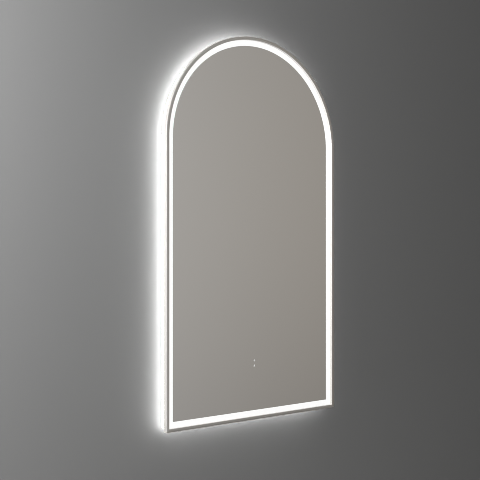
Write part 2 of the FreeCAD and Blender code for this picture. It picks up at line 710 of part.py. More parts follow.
def block_way(number):
    """X of one way of the terminal block."""
    way = BLOCK_SIZE[0] / BLOCK_WAYS
    return block_centre()[0] + (number - (BLOCK_WAYS - 1) / 2) * way


def mains_way_level():
    """Level of the block's wire entries."""
    return block_level() + BLOCK_SIZE[1] / 2


def tub_bore(number):
    """Hole in the tub's top wall for one lead of the block."""
    top = BOTTOM + TERMINAL_CENTRE[1] + TERMINAL_SIZE[1] / 2
    start = Vector(block_way(number), -mains_way_level(), top - 2 * CASE_WALL - TERMINAL_FIT)
    return Part.makeCylinder(MAINS_LEAD_RADIUS + LEAD_HOLE_CLEARANCE, 4 * CASE_WALL, start, Vector(0, 0, 1))


def terminal_parts():
    x, z = block_centre()
    level = block_level()
    body = block(x, z, BLOCK_SIZE[0], BLOCK_SIZE[2], level, level + BLOCK_SIZE[1])
    screw_reach = BLOCK_SIZE[2] / 4
    screw_depth = BLOCK_SIZE[1] / 3
    screws = [
        rod(block_way(number), z + side * screw_reach, BLOCK_SCREW_RADIUS, level, level + screw_depth)
        for number in range(BLOCK_WAYS) for side in (-1, 1)
    ]
    cover_x, cover_z = TERMINAL_CENTRE[0], BOTTOM + TERMINAL_CENTRE[1]
    inlet = rod(cover_x, cover_z - GROMMET_DROP, GROMMET_NECK, 0, TRAY_BACK + 1)
    cover_back = TRAY_BACK - COVER_THICKNESS
    cover = block(cover_x, cover_z, TERMINAL_SIZE[0] + 2 * COVER_LAP, TERMINAL_SIZE[1] + 2 * COVER_LAP,
                  cover_back, TRAY_BACK)
    bores = [rod(px, pz, CASE_SCREW_RADIUS, 0, TRAY_BACK + 1) for px, pz in cover_screw_places()]
    cover_screws = [
        pan_head_screw(px, pz, CASE_SCREW_RADIUS, CASE_SCREW_HEAD_RADIUS, CASE_SCREW_HEAD_HEIGHT,
                       cover_back, FLOOR + CASE_WALL)
        for px, pz in cover_screw_places()
    ]
    upright = [e for e in cover.Edges if abs(e.Vertexes[0].Y - e.Vertexes[1].Y) > COVER_THICKNESS / 2]
    return {
        "terminal_box": [terminal_box()],
        "terminal_block": [body.cut(screws)],
        "terminal_screws": screws,
        "access_cover": [cover.makeFillet(COVER_SCREW_INSET / 2, upright).cut(bores + [inlet])],
        "access_cover_screws": cover_screws,
        "cable_grommet": [cable_grommet(cover_x, cover_z - GROMMET_DROP, cover_back)],
    }


def cable_grommet(x, z, cover_back):
    """Collar with a rim each side of the access cover."""
    low, high = cover_back - GROMMET_RIM_THICKNESS, TRAY_BACK + GROMMET_RIM_THICKNESS
    collar = rod(x, z, GROMMET_NECK, low, high)
    rims = [rod(x, z, GROMMET_RIM, low, cover_back), rod(x, z, GROMMET_RIM, TRAY_BACK, high)]
    return collar.fuse(rims).cut(rod(x, z, GROMMET_BORE, low - 1, high + 1))


def earth_parts():
    x, z = EARTH_CENTRE[0], BOTTOM + EARTH_CENTRE[1]
    seat = FLOOR + RING_THICKNESS
    stud = rod(x, z, EARTH_STUD_RADIUS, TRAY_BACK, TRAY_BACK + EARTH_STUD_LENGTH)
    corner = EARTH_NUT_FLATS / math.sqrt(3)
    hexagon = [(x + corner * math.cos(math.radians(60 * i)), z + corner * math.sin(math.radians(60 * i)))
               for i in range(6)]
    nut = prism(hexagon, seat, seat + EARTH_NUT_HEIGHT)
    nut = nut.cut(rod(x, z, EARTH_STUD_RADIUS, seat - 1, seat + EARTH_NUT_HEIGHT + 1))
    tail = block(x, z + RING_TAIL / 2, RING_OUTER, RING_TAIL, FLOOR, seat)
    tag = rod(x, z, RING_OUTER, FLOOR, seat).fuse(tail).cut(rod(x, z, EARTH_STUD_RADIUS, FLOOR - 1, seat + 1))
    return {"earth_stud": [stud], "earth_nut": [nut], "earth_ring_terminal": [tag]}


def box_parts():
    driver, driver_lid, driver_screws = boxed_unit(DRIVER_SIZE, DRIVER_CENTRE, DRIVER_DEPTH)
    control, control_lid, control_screws = boxed_unit(CONTROL_SIZE, CONTROL_CENTRE, CONTROL_DEPTH)
    return {
        "led_driver_case": [driver],
        "led_driver_lid": [driver_lid],
        "led_driver_screws": driver_screws,
        "control_case": [control],
        "control_lid": [control_lid],
        "control_screws": control_screws,
    }


# --- Leads ---------------------------------------------------------------------------------------
def lead_parts():
    """Internal leads, each starting and ending on the face of the piece that it serves."""
    return {
        "mains_leads": mains_leads(),
        "earth_lead": [earth_lead()],
        "front_strip_lead": [front_strip_lead()],
        "halo_strip_lead": [halo_strip_lead()],
        "control_lead": [control_lead()],
        "touch_lead": [touch_lead()],
        "demister_lead": [demister_lead()],
        "lead_clips": lead_clips(),
    }


def top_of(size, centre):
    """Height of a box's top edge."""
    return BOTTOM + centre[1] + size[1] / 2


def low_of(size, centre):
    """Height of a box's bottom edge."""
    return BOTTOM + centre[1] - size[1] / 2


def mains_leads():
    """Two leads from the terminal block, up out of its box and across to the driver's top."""
    level = mains_way_level()
    start_z, box_top = block_centre()[1] + BLOCK_SIZE[2] / 2, top_of(TERMINAL_SIZE, TERMINAL_CENTRE)
    leads = []
    for number, (rise, offset) in enumerate(zip(MAINS_LEAD_RISES, MAINS_LEAD_OFFSETS)):
        way, x, z = block_way(number), DRIVER_CENTRE[0] + offset, box_top + rise
        leads.append(lead([Vector(way, -level, start_z), Vector(way, -level, z), Vector(x, -level, z),
                           Vector(x, -level, top_of(DRIVER_SIZE, DRIVER_CENTRE))], MAINS_LEAD_RADIUS))
    return leads


def earth_lead():
    """From the block's last way, over the box's corner and down to the ring terminal's tail."""
    way, x, level = block_way(BLOCK_WAYS - 1), EARTH_CENTRE[0], mains_way_level()
    start_z = block_centre()[1] + BLOCK_SIZE[2] / 2
    turn_z = top_of(TERMINAL_SIZE, TERMINAL_CENTRE) + EARTH_LEAD_RISE
    tail_end = BOTTOM + EARTH_CENTRE[1] + RING_TAIL
    tail_level = FLOOR + RING_THICKNESS + LEAD_RADIUS
    foot, head = EARTH_LEAD_SLOPE
    return lead([Vector(way, -level, start_z), Vector(way, -level, turn_z), Vector(x, -level, turn_z),
                 Vector(x, -level, tail_end + head), Vector(x, -tail_level, tail_end + foot),
                 Vector(x, -tail_level, tail_end - RING_OUTER)], LEAD_RADIUS)


def front_strip_lead():
    """Down the left side, in above the carrier's foot and out through its wall to the front strip."""
    start_x, start_z = DRIVER_CENTRE[0] + FRONT_LEAD_OFFSET, low_of(DRIVER_SIZE, DRIVER_CENTRE)
    turn_z = start_z - FRONT_LEAD_DROP
    foot_line = BOTTOM + FOOT_INNER + FRONT_LEAD_FOOT_MARGIN
    strip_face = BOTTOM + CARRIER_INSET - STRIP_THICKNESS
    return lead([on_floor(start_x, start_z), on_floor(start_x, turn_z), on_floor(FRONT_LEAD_SIDE_X, turn_z),
                 on_floor(FRONT_LEAD_SIDE_X, foot_line), on_floor(FRONT_LEAD_X, foot_line),
                 on_floor(FRONT_LEAD_X, strip_face)], LEAD_RADIUS)


def halo_strip_lead():
    """Across below the driver, down through the carrier and out through the tray's bottom wall."""
    start_x, start_z = DRIVER_CENTRE[0] + HALO_LEAD_OFFSET, low_of(DRIVER_SIZE, DRIVER_CENTRE)
    turn_z, level = start_z - HALO_LEAD_DROP, halo_lead_level()
    return lead([on_floor(start_x, start_z), on_floor(start_x, turn_z), on_floor(HALO_LEAD_X, turn_z),
                 on_floor(HALO_LEAD_X, BOTTOM + CARRIER_INSET - LEAD_RADIUS),
                 Vector(HALO_LEAD_X, -level, BOTTOM + TRAY_INNER + 3 * LEAD_RADIUS),
                 Vector(HALO_LEAD_X, -level, BOTTOM + TRAY_INSET - LEAD_RADIUS)], LEAD_RADIUS)


def control_lead():
    """From the driver's bottom edge down to the control box's top edge."""
    x, middle = CONTROL_CENTRE[0], BOTTOM + CONTROL_CENTRE[1]
    low_knee, high_knee = CONTROL_LEAD_KNEES
    return lead([on_floor(x + CONTROL_LEAD_OFFSET, low_of(DRIVER_SIZE, DRIVER_CENTRE)),
                 on_floor(x + CONTROL_LEAD_OFFSET, middle + high_knee), on_floor(x, middle + low_knee),
                 on_floor(x, top_of(CONTROL_SIZE, CONTROL_CENTRE))], LEAD_RADIUS)


def touch_lead():
    """From the touch housing's top edge, back to the floor and into the control box's bottom edge."""
    start_z = BOTTOM + sum(MARK_HEIGHTS) / len(MARK_HEIGHTS) + TOUCH_HEIGHT / 2
    x, end_z = CONTROL_CENTRE[0], low_of(CONTROL_SIZE, CONTROL_CENTRE)
    level, turn_z = FILM_BACK - TOUCH_DEPTH / 2, end_z - TOUCH_LEAD_DROP
    head, foot = TOUCH_LEAD_SLOPE
    return lead([Vector(0, -level, start_z), Vector(0, -level, start_z + head), on_floor(0, start_z + foot),
                 on_floor(0, turn_z), on_floor(x, turn_z), on_floor(x, end_z)], LEAD_RADIUS)


def demister_lead():
    """From the control box's top edge up onto the back of the heating film."""
    x, start_z = CONTROL_CENTRE[0] + DEMISTER_LEAD_OFFSET, top_of(CONTROL_SIZE, CONTROL_CENTRE)
    level = FILM_BACK - DEMISTER_THICKNESS - LEAD_RADIUS
    foot, head, end = DEMISTER_LEAD_RISES
    return lead([on_floor(x, start_z), on_floor(x, start_z + foot), Vector(x, -level, start_z + head),
                 Vector(x, -level, start_z + end)], LEAD_RADIUS)


def lead_clips():
    """Saddles stuck to the tray's floor over the leads that run upright."""
    places = [(x, height) for x in (FRONT_LEAD_SIDE_X, HALO_LEAD_X) for height in SIDE_CLIP_HEIGHTS]
    clips = []
    for x, height in places + [(0.0, TOUCH_CLIP_HEIGHT)]:
        z = BOTTOM + height
        saddle = block(x, z, CLIP_SIZE[0], CLIP_SIZE[1], FLOOR, FLOOR + CLIP_HEIGHT)
        start = on_floor(x, z - CLIP_SIZE[1])
        bore = Part.makeCylinder(LEAD_RADIUS, 2 * CLIP_SIZE[1], start, Vector(0, 0, 1))
        clips.append(saddle.cut(bore))
    return clips


# --- Hanging -------------------------------------------------------------------------------------
def z_section(points, length):
    """Folded rail from (off the wall, height) points, centred on X."""
    corners = [Vector(-length / 2, -off, z) for off, z in points]
    return Part.Face(Part.makePolygon(corners + corners[:1])).extrude(Vector(length, 0, 0))


def wall_rail():
    """Flat leg on the wall, a step outwards, and a lip that points up."""
    lip_back = 2 * RAIL_SHEET + 2 * RAIL_CLEARANCE
    lip_front = lip_back + RAIL_SHEET
    top = RAIL_LEG + RAIL_LIP
    rail = z_section([
        (0, -RAIL_LEG), (RAIL_SHEET, -RAIL_LEG), (RAIL_SHEET, RAIL_LEG - RAIL_SHEET),
        (lip_front, RAIL_LEG - RAIL_SHEET), (lip_front, top), (lip_back, top), (lip_back, RAIL_LEG),
        (0, RAIL_LEG),
    ], WALL_RAIL_LENGTH)
    slots = [slot(side * FIXING_SPACING / 2, 0, FIXING_SLOT_WIDTH, FIXING_SLOT_LENGTH, -1, RAIL_SHEET + 1)
             for side in (-1, 1)]
    return rail.cut(slots)


def hanger_rail():
    """The same fold upside down: leg on the tray, and a lip that points down behind the wall rail's."""
    lip_back = RAIL_SHEET
    lip_front = lip_back + RAIL_SHEET
    seat = RAIL_LEG + RAIL_LIP + SEAT_GAP
    lip_end = RAIL_LEG + 2 * RAIL_CLEARANCE
    leg_end = seat + RAIL_SHEET + HANGER_LEG
    rail = z_section([
        (lip_back, lip_end), (lip_front, lip_end), (lip_front, seat), (TRAY_BACK, seat),
        (TRAY_BACK, leg_end), (TRAY_BACK - RAIL_SHEET, leg_end), (TRAY_BACK - RAIL_SHEET, seat + RAIL_SHEET),
        (lip_back, seat + RAIL_SHEET),
    ], HANGER_LENGTH)
    return rail.cut([rod(x, z, RIVET_RADIUS, 0, TRAY_BACK + 1) for x, z in hanger_rivet_places()])


def hanging_parts():
    reach = HALF - BUMPER_SIDE
    bumpers = [rod(side * reach, BOTTOM + height, BUMPER_RADIUS, 0, TRAY_BACK)
               for side in (-1, 1) for height in BUMPER_HEIGHTS]
    spacer_places = [(side * (HALF - SPACER_SIDE), BOTTOM + height)
                     for height in SPACER_HEIGHTS for side in (-1, 1)]
    spacers = [block(x, z, SPACER_SIZE, SPACER_SIZE, FLOOR, FILM_BACK)
               for x, z in spacer_places + [(0.0, RAIL_DROP - SPACER_DROP)]]
    rivets = [rivet(x, z, TRAY_BACK - RAIL_SHEET, FLOOR) for x, z in hanger_rivet_places()]
    return {
        "wall_rail": [wall_rail()],
        "hanger_rail": [hanger_rail()],
        "hanger_rivets": rivets,
        "wall_bumpers": bumpers,
        "foam_spacers": spacers,
    }


def write(node, solids):
    shape = solids[0] if len(solids) == 1 else Part.makeCompound(solids)
    shape.exportStep(os.path.join("parts", node + ".step"))
    print(f"{node}: {len(shape.Solids)} solids, valid {shape.isValid()}, {shape.Volume / 1000:.2f} cm3")


def main():
    os.makedirs("parts", exist_ok=True)
    groups = (frame_parts, pane_parts, tray_parts, strip_parts, touch_parts, box_parts,
              terminal_parts, earth_parts, lead_parts, hanging_parts)
    for group in groups:
        for node, solids in group().items():
            write(node, solids)


main()
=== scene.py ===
"""Looks of an arched lighted bathroom mirror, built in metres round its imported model.

The mirror faces -Y, the wall is the plane Y = 0 and Z is up. A level is a distance off the wall, and
an inset is a distance inwards from the arched outline, the same all the way round.
"""

import json
import logging
import math
from dataclasses import dataclass
from enum import Enum
from typing import Any, Callable, Iterable, Sequence, Union

import bmesh
import bpy
from mathutils import Matrix, Vector


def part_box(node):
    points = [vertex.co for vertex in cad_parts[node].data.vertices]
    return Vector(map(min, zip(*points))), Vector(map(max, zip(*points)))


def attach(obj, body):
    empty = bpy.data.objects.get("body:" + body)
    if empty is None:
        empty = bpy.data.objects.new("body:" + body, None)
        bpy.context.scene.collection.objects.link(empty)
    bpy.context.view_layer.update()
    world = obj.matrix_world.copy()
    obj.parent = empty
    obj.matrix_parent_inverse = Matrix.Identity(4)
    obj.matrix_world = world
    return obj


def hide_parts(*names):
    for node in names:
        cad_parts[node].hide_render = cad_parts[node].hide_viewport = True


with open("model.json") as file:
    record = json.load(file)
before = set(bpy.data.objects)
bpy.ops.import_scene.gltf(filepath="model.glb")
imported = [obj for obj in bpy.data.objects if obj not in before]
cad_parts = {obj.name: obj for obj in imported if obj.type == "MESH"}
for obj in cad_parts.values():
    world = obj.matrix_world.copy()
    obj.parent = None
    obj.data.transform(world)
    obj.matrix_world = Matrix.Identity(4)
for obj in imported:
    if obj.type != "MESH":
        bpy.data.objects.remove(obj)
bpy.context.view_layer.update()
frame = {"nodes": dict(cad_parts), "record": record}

log = logging.getLogger("lighted_mirror")

MILLIMETRE = 0.001
WELD = 0.002 * MILLIMETRE  # points nearer to each other than this are one
BODY = "mirror_body"
Triple = tuple[float, float, float]
Value = Union[float, int, "Wire"]
Palette = dict[str, bpy.types.Material]  # the finishes by slot


# --- Node trees ----------------------------------------------------------------------------------
def operator(operation: str, swapped: bool = False) -> Callable[["Wire", Value], "Wire"]:
    """Makes an operator for wires.

    Args:
        operation: The kind of Math node that it adds.
        swapped: Whether the other value comes first.

    Returns:
        The operator, as a method.
    """
    def method(self: "Wire", other: Value) -> "Wire":
        """Adds the node."""
        return self.graph.math(operation, *((other, self) if swapped else (self, other)))
    return method


class Wire:
    """An output socket with arithmetic, where each operator adds one Math node to its tree."""

    def __init__(self, graph: "Graph", socket: bpy.types.NodeSocket) -> None:
        """Keeps the socket and the graph that it belongs to."""
        self.graph = graph
        self.socket = socket

    __add__, __radd__ = operator("ADD"), operator("ADD", True)
    __sub__, __rsub__ = operator("SUBTRACT"), operator("SUBTRACT", True)
    __mul__, __rmul__ = operator("MULTIPLY"), operator("MULTIPLY", True)
    __truediv__, __mod__ = operator("DIVIDE"), operator("MODULO")
    __lt__, __gt__ = operator("LESS_THAN"), operator("GREATER_THAN")


class Graph:
    """A node tree, with one method that adds any node to it."""

    def __init__(self, tree: bpy.types.NodeTree) -> None:
        """Keeps the tree."""
        self.tree = tree

    @classmethod
    def emptied(cls, owner: bpy.types.Material | bpy.types.World) -> "Graph":
        """Turns on the nodes of a material or world and takes out what it starts with.

        Args:
            owner: The material or world.

        Returns:
            Its empty tree.
        """
        owner.use_nodes = True
        owner.node_tree.nodes.clear()
        return cls(owner.node_tree)

    def node(self, kind: str, settings: dict[str, Any] | None = None,
             inputs: dict[str | int, Any] | None = None) -> "Made":
        """Adds one node.

        Args:
            kind: The node's type.
            settings: The node's own properties, set before its sockets are used.
            inputs: Values, wires or lists of wires by socket name or number.

        Returns:
            The node, whose outputs are read by name or number.
        """
        made = self.tree.nodes.new(kind)
        for name, setting in (settings or {}).items():
            setattr(made, name, setting)
        for key, value in (inputs or {}).items():
            socket = pick(made.inputs, key)
            for item in value if isinstance(value, list) else [value]:
                if isinstance(item, Wire):
                    self.tree.links.new(item.socket, socket)
                else:
                    socket.default_value = item
        return Made(self, made)

    def math(self, operation: str, *values: Value) -> Wire:
        """Adds a Math node on one to three values."""
        return self.node("ShaderNodeMath", {"operation": operation}, dict(enumerate(values)))[0]

    def clamp(self, value: Wire, low: float = 0.0, high: float = 1.0) -> Wire:
        """Limits a value."""
        return self.math("MINIMUM", self.math("MAXIMUM", value, low), high)

    def blend(self, factor: Value, low: Any, high: Any) -> Wire:
        """Mixes two colours."""
        settings = {"data_type": "RGBA"}
        return self.node("ShaderNodeMix", settings, {0: factor, 6: low, 7: high})[2]

    def scaled(self, colour: Wire, share: Wire) -> Wire:
        """Multiplies a colour by a number."""
        return self.node("ShaderNodeVectorMath", {"operation": "SCALE"},
                         {"Vector": colour, "Scale": share})["Vector"]

    def parts(self, vector: Wire) -> "Made":
        """Splits a vector into X, Y and Z."""
        return self.node("ShaderNodeSeparateXYZ", inputs={"Vector": vector})

    def vector(self, **parts: Value) -> Wire:
        """Joins X, Y and Z into a vector."""
        return self.node("ShaderNodeCombineXYZ", inputs=parts)["Vector"]

    def place(self) -> Wire:
        """The shaded point in the piece's own coordinates."""
        return self.node("ShaderNodeTexCoord")["Object"]


class Made:
    """A node that was added, with its outputs as wires."""

    def __init__(self, graph: Graph, made: bpy.types.Node) -> None:
        """Keeps the node and its graph."""
        self.graph = graph
        self.made = made

    def __getitem__(self, key: str | int) -> Wire:
        """The output of that name or number."""
        return Wire(self.graph, pick(self.made.outputs, key))


def pick(sockets: bpy.types.bpy_prop_collection, key: str | int) -> bpy.types.NodeSocket:
    """Finds a socket by its number, or the first one in use of a name."""
    named = (socket for socket in sockets if socket.name == key and socket.enabled)
    return sockets[key] if isinstance(key, int) else next(named)


class GeometryTree(Graph):
    """A Geometry Nodes tree with named inputs, applied to an object and turned into a plain mesh."""

    def __init__(self, name: str) -> None:
        """Makes an empty tree with one geometry output.

        Args:
            name: The tree's name, which its modifiers take too.
        """
        super().__init__(bpy.data.node_groups.new(name, "GeometryNodeTree"))
        self.tree.interface.new_socket("Geometry", in_out="OUTPUT", socket_type="NodeSocketGeometry")
        self.entry = self.tree.nodes.new("NodeGroupInput")
        self.identifiers: dict[str, str] = {}

    def input(self, name: str, kind: str) -> Wire:
        """Adds a named input.

        Args:
            name: The input's name.
            kind: The part of the socket type after NodeSocket, such as Float.

        Returns:
            The wire that carries it.
        """
        socket = self.tree.interface.new_socket(name, in_out="INPUT", socket_type="NodeSocket" + kind)
        self.identifiers[name] = socket.identifier
        return Wire(self, pick(self.entry.outputs, name))

    def inputs(self, kind: str, *names: str) -> list[Wire]:
        """Adds named inputs of one kind."""
        return [self.input(name, kind) for name in names]

    def output(self, geometry: Wire) -> None:
        """Ends the tree with that geometry."""
        self.node("NodeGroupOutput", inputs={"Geometry": geometry})

    def changed(self, kind: str, geometry: Wire, inputs: dict[str, Any] | None = None,
                settings: dict[str, Any] | None = None) -> Wire:
        """Adds a node that takes a geometry and gives it back changed."""
        values = {"Geometry": geometry, **(inputs or {})}
        return self.node("GeometryNode" + kind, settings, values)["Geometry"]

    def output_in(self, material: Wire, geometry: Wire) -> None:
        """Ends the tree with that geometry, made real and in one finish."""
        self.output(self.changed("SetMaterial", self.real(geometry), {"Material": material}))

    def real(self, geometry: Wire) -> Wire:
        """Turns instances into a mesh."""
        return self.changed("RealizeInstances", geometry)

    def joined(self, *geometries: Wire) -> Wire:
        """Puts geometries together."""
        return self.node("GeometryNodeJoinGeometry", inputs={"Geometry": list(geometries)})["Geometry"]

    def welded(self, geometry: Wire) -> Wire:
        """Merges the points that lie on each other."""
        return self.changed("MergeByDistance", geometry, {"Distance": WELD})

    def position(self) -> Wire:
        """Where each point is."""
        return self.node("GeometryNodeInputPosition")["Position"]

    def moved(self, geometry: Wire, place: Wire) -> Wire:
        """Puts each point in its new place."""
        return self.changed("SetPosition", geometry, {"Position": place})

    def on_circle(self, turn: Wire, radius: Wire) -> tuple[Wire, Wire]:
        """The point of a circle at a turn, as its cosine's part and its sine's part."""
        return self.math("COSINE", turn) * radius, self.math("SINE", turn) * radius

    def smoothed(self, geometry: Wire, limit: Value) -> Wire:
        """Shades a geometry smooth, with its edges sharp where they turn by more than a limit.

        Args:
            geometry: The geometry to shade.
            limit: The least angle of a sharp edge, in radians.

        Returns:
            The shaded geometry.
        """
        faces = self.changed("SetShadeSmooth", geometry, {"Shade Smooth": True}, {"domain": "FACE"})
        angle = self.node("GeometryNodeInputMeshEdgeAngle")["Unsigned Angle"]
        return self.changed("SetShadeSmooth", faces, {"Selection": angle > limit, "Shade Smooth": False},
                            {"domain": "EDGE"})

    def rows_of(self, section: Wire, rows: Wire) -> tuple[Wire, Wire, Wire]:
        """Makes a sheet with a row of points for each copy of a section.

        Args:
            section: The section.
            rows: How many copies it gets.

        Returns:
            The sheet, and each point's row and its number in the section.
        """
        size = self.node("GeometryNodeAttributeDomainSize", inputs={"Geometry": section})["Point Count"]
        sheet = self.node("GeometryNodeMeshGrid", inputs={"Vertices X": rows, "Vertices Y": size})["Mesh"]
        index = self.node("GeometryNodeInputIndex")["Index"]
        row = self.math("FLOOR", (index + 0.5) / size)  # the half keeps clear of rounding
        return sheet, row, index - row * size

    def sampled(self, source: Wire, kind: str, value: Wire, index: Wire) -> Wire:
        """Reads a value of a section at one of its points."""
        return self.node("GeometryNodeSampleIndex", {"data_type": kind},
                         {"Geometry": source, "Value": value, "Index": index})["Value"]

    def attach(self, target: bpy.types.Object, values: dict[str, Any]) -> None:
        """Puts the tree on an object as a modifier, with its inputs set by identifier.

        Args:
            target: The object.
            values: The tree's inputs by name.
        """
        modifier = target.modifiers.new(self.tree.name, "NODES")
        modifier.node_group = self.tree
        for name, value in values.items():
            modifier[self.identifiers[name]] = value

    def make(self, name: str, base: bpy.types.Mesh, values: dict[str, Any]) -> bpy.types.Mesh:
        """Runs the tree on a mesh.

        Args:
            name: The new mesh's name.
            base: The mesh that feeds the tree's geometry input.
            values: The tree's other inputs by name.

        Returns:
            A plain mesh with its faces pointing outwards.
        """
        carrier = add_object(name + "_carrier", base)
        self.attach(carrier, values)
        depsgraph = bpy.context.evaluated_depsgraph_get()
        made = bpy.data.meshes.new_from_object(carrier.evaluated_get(depsgraph))
        bpy.data.objects.remove(carrier)
        made.name = name
        return turned_outwards(made)


def turned_outwards(mesh: bpy.types.Mesh) -> bpy.types.Mesh:
    """Points the faces of closed shells outwards.

    Args:
        mesh: The mesh, which is changed.

    Returns:
        The same mesh.
    """
    shell = bmesh.new()
    shell.from_mesh(mesh)
    bmesh.ops.recalc_face_normals(shell, faces=shell.faces)
    shell.to_mesh(mesh)
    shell.free()
    return mesh


def add_object(name: str, data: bpy.types.ID) -> bpy.types.Object:
    """Adds an object to the scene.

    Args:
        name: Its name.
        data: What it holds, such as a mesh.

    Returns:
        The object.
    """
    item = bpy.data.objects.new(name, data)
    bpy.context.scene.collection.objects.link(item)
    return item


def line_mesh(name: str, lines: Iterable[Sequence[Triple]], loose: Sequence[Triple] = ()) -> bpy.types.Mesh:
    """Makes a mesh of edges.

    Args:
        name: The mesh's name.
        lines: The points of each line.
        loose: Points without an edge, which come last.

    Returns:
        The mesh.
    """
    points, edges = [], []
    for line in lines:
        edges += [(len(points) + step, len(points) + step + 1) for step in range(len(line) - 1)]
        points += line
    mesh = bpy.data.meshes.new(name)
    mesh.from_pydata([*points, *loose], edges, [])
    return mesh


def add_piece(name: str, mesh: bpy.types.Mesh, stands_for: Sequence[str] = ()) -> bpy.types.Object:
    """Adds a finished mesh to the scene as a piece of the mirror.

    Args:
        name: The piece's name.
        mesh: Its mesh, in place.
        stands_for: The CAD nodes that it is shown instead of.

    Returns:
        The piece.
    """
    piece = add_object(name, mesh)
    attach(piece, BODY)
    if stands_for:
        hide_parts(*stands_for)
    log.info("%s: %d faces", name, len(mesh.polygons))
    return piece


# --- Arch and sweep ------------------------------------------------------------------------------
@dataclass(frozen=True)
class Arch:
    """The mirror's outline: a flat foot, two upright sides and a half circle."""

    half: float
    foot: float
    spring: float
    steps: int = 120

    @classmethod
    def from_frame(cls) -> "Arch":
        """Reads the outline from the CAD frame's corners."""
        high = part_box("frame_arch")[1]
        return cls(half=high.x, foot=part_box("frame_bottom_rail")[0].z, spring=high.z - high.x)

    def loop(self, inset: float) -> list[tuple[float, float]]:
        """Points of the outline at an inset.

        Args:
            inset: The distance inwards.

        Returns:
            (x, z) points from the left foot over the arch to the right foot.
        """
        reach = self.half - inset
        turns = [math.pi * (1 - step / self.steps) for step in range(self.steps + 1)]
        arc = [(reach * math.cos(turn), self.spring + reach * math.sin(turn)) for turn in turns]
        return [(-reach, self.foot + inset), *arc, (reach, self.foot + inset)]


class Span(Enum):
    """The stretch of the outline that a swept piece covers."""

    OVER_THE_TOP = "over the top"
    ALONG_THE_FOOT = "along the foot"
    ALL_ROUND = "all round"


def level_range(node: str) -> tuple[float, float]:
    """Lowest and highest level of a CAD node off the wall."""
    low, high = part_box(node)
    return -high.y, -low.y


@dataclass(frozen=True)
class Corner:
    """A corner of a cross-section, at an inset and a level, rounded to a radius."""

    inset: float
    level: float
    radius: float = 0.0

    def points(self, before: "Corner", after: "Corner", steps: int = 4) -> list[Vector]:
        """Draws the corner.

        Args:
            before: The corner that comes before it.
            after: The corner that follows it.
            steps: How many chords its rounding has.

        Returns:
            One point, or the points of its rounding.
        """
        here = Vector((self.inset, self.level))
        if not self.radius:
            return [here]
        towards = [(Vector((c.inset, c.level)) - here).normalized() for c in (before, after)]
        half_angle = towards[0].angle(towards[1]) / 2
        tangent = self.radius / math.tan(half_angle)
        centre = here + (towards[0] + towards[1]).normalized() * (self.radius / math.sin(half_angle))
        first = here + towards[0] * tangent - centre
        last = here + towards[1] * tangent - centre
        sweep = first.angle_signed(last)
        return [centre + Matrix.Rotation(-sweep * step / steps, 2) @ first for step in range(steps + 1)]


def section_mesh(corners: Sequence[Corner]) -> bpy.types.Mesh:
    """Makes a closed cross-section as a chain of edges in the XY plane, with the run along it stored.

    The first point is repeated at the end, so that the run has its full length there.

    Args:
        corners: The cross-section's corners in order.

    Returns:
        The chain, as a mesh.
    """
    points: list[Vector] = []
    for number, corner in enumerate(corners):
        points += corner.points(corners[number - 1], corners[(number + 1) % len(corners)])
    points.append(points[0])
    mesh = line_mesh("section", [[(p.x, p.y, 0.0) for p in points]])
    run = mesh.attributes.new("run", "FLOAT", "POINT")
    travelled = 0.0
    for number, point in enumerate(points):
        travelled += (point - points[max(number - 1, 0)]).length
        run.data[number].value = travelled
    return mesh


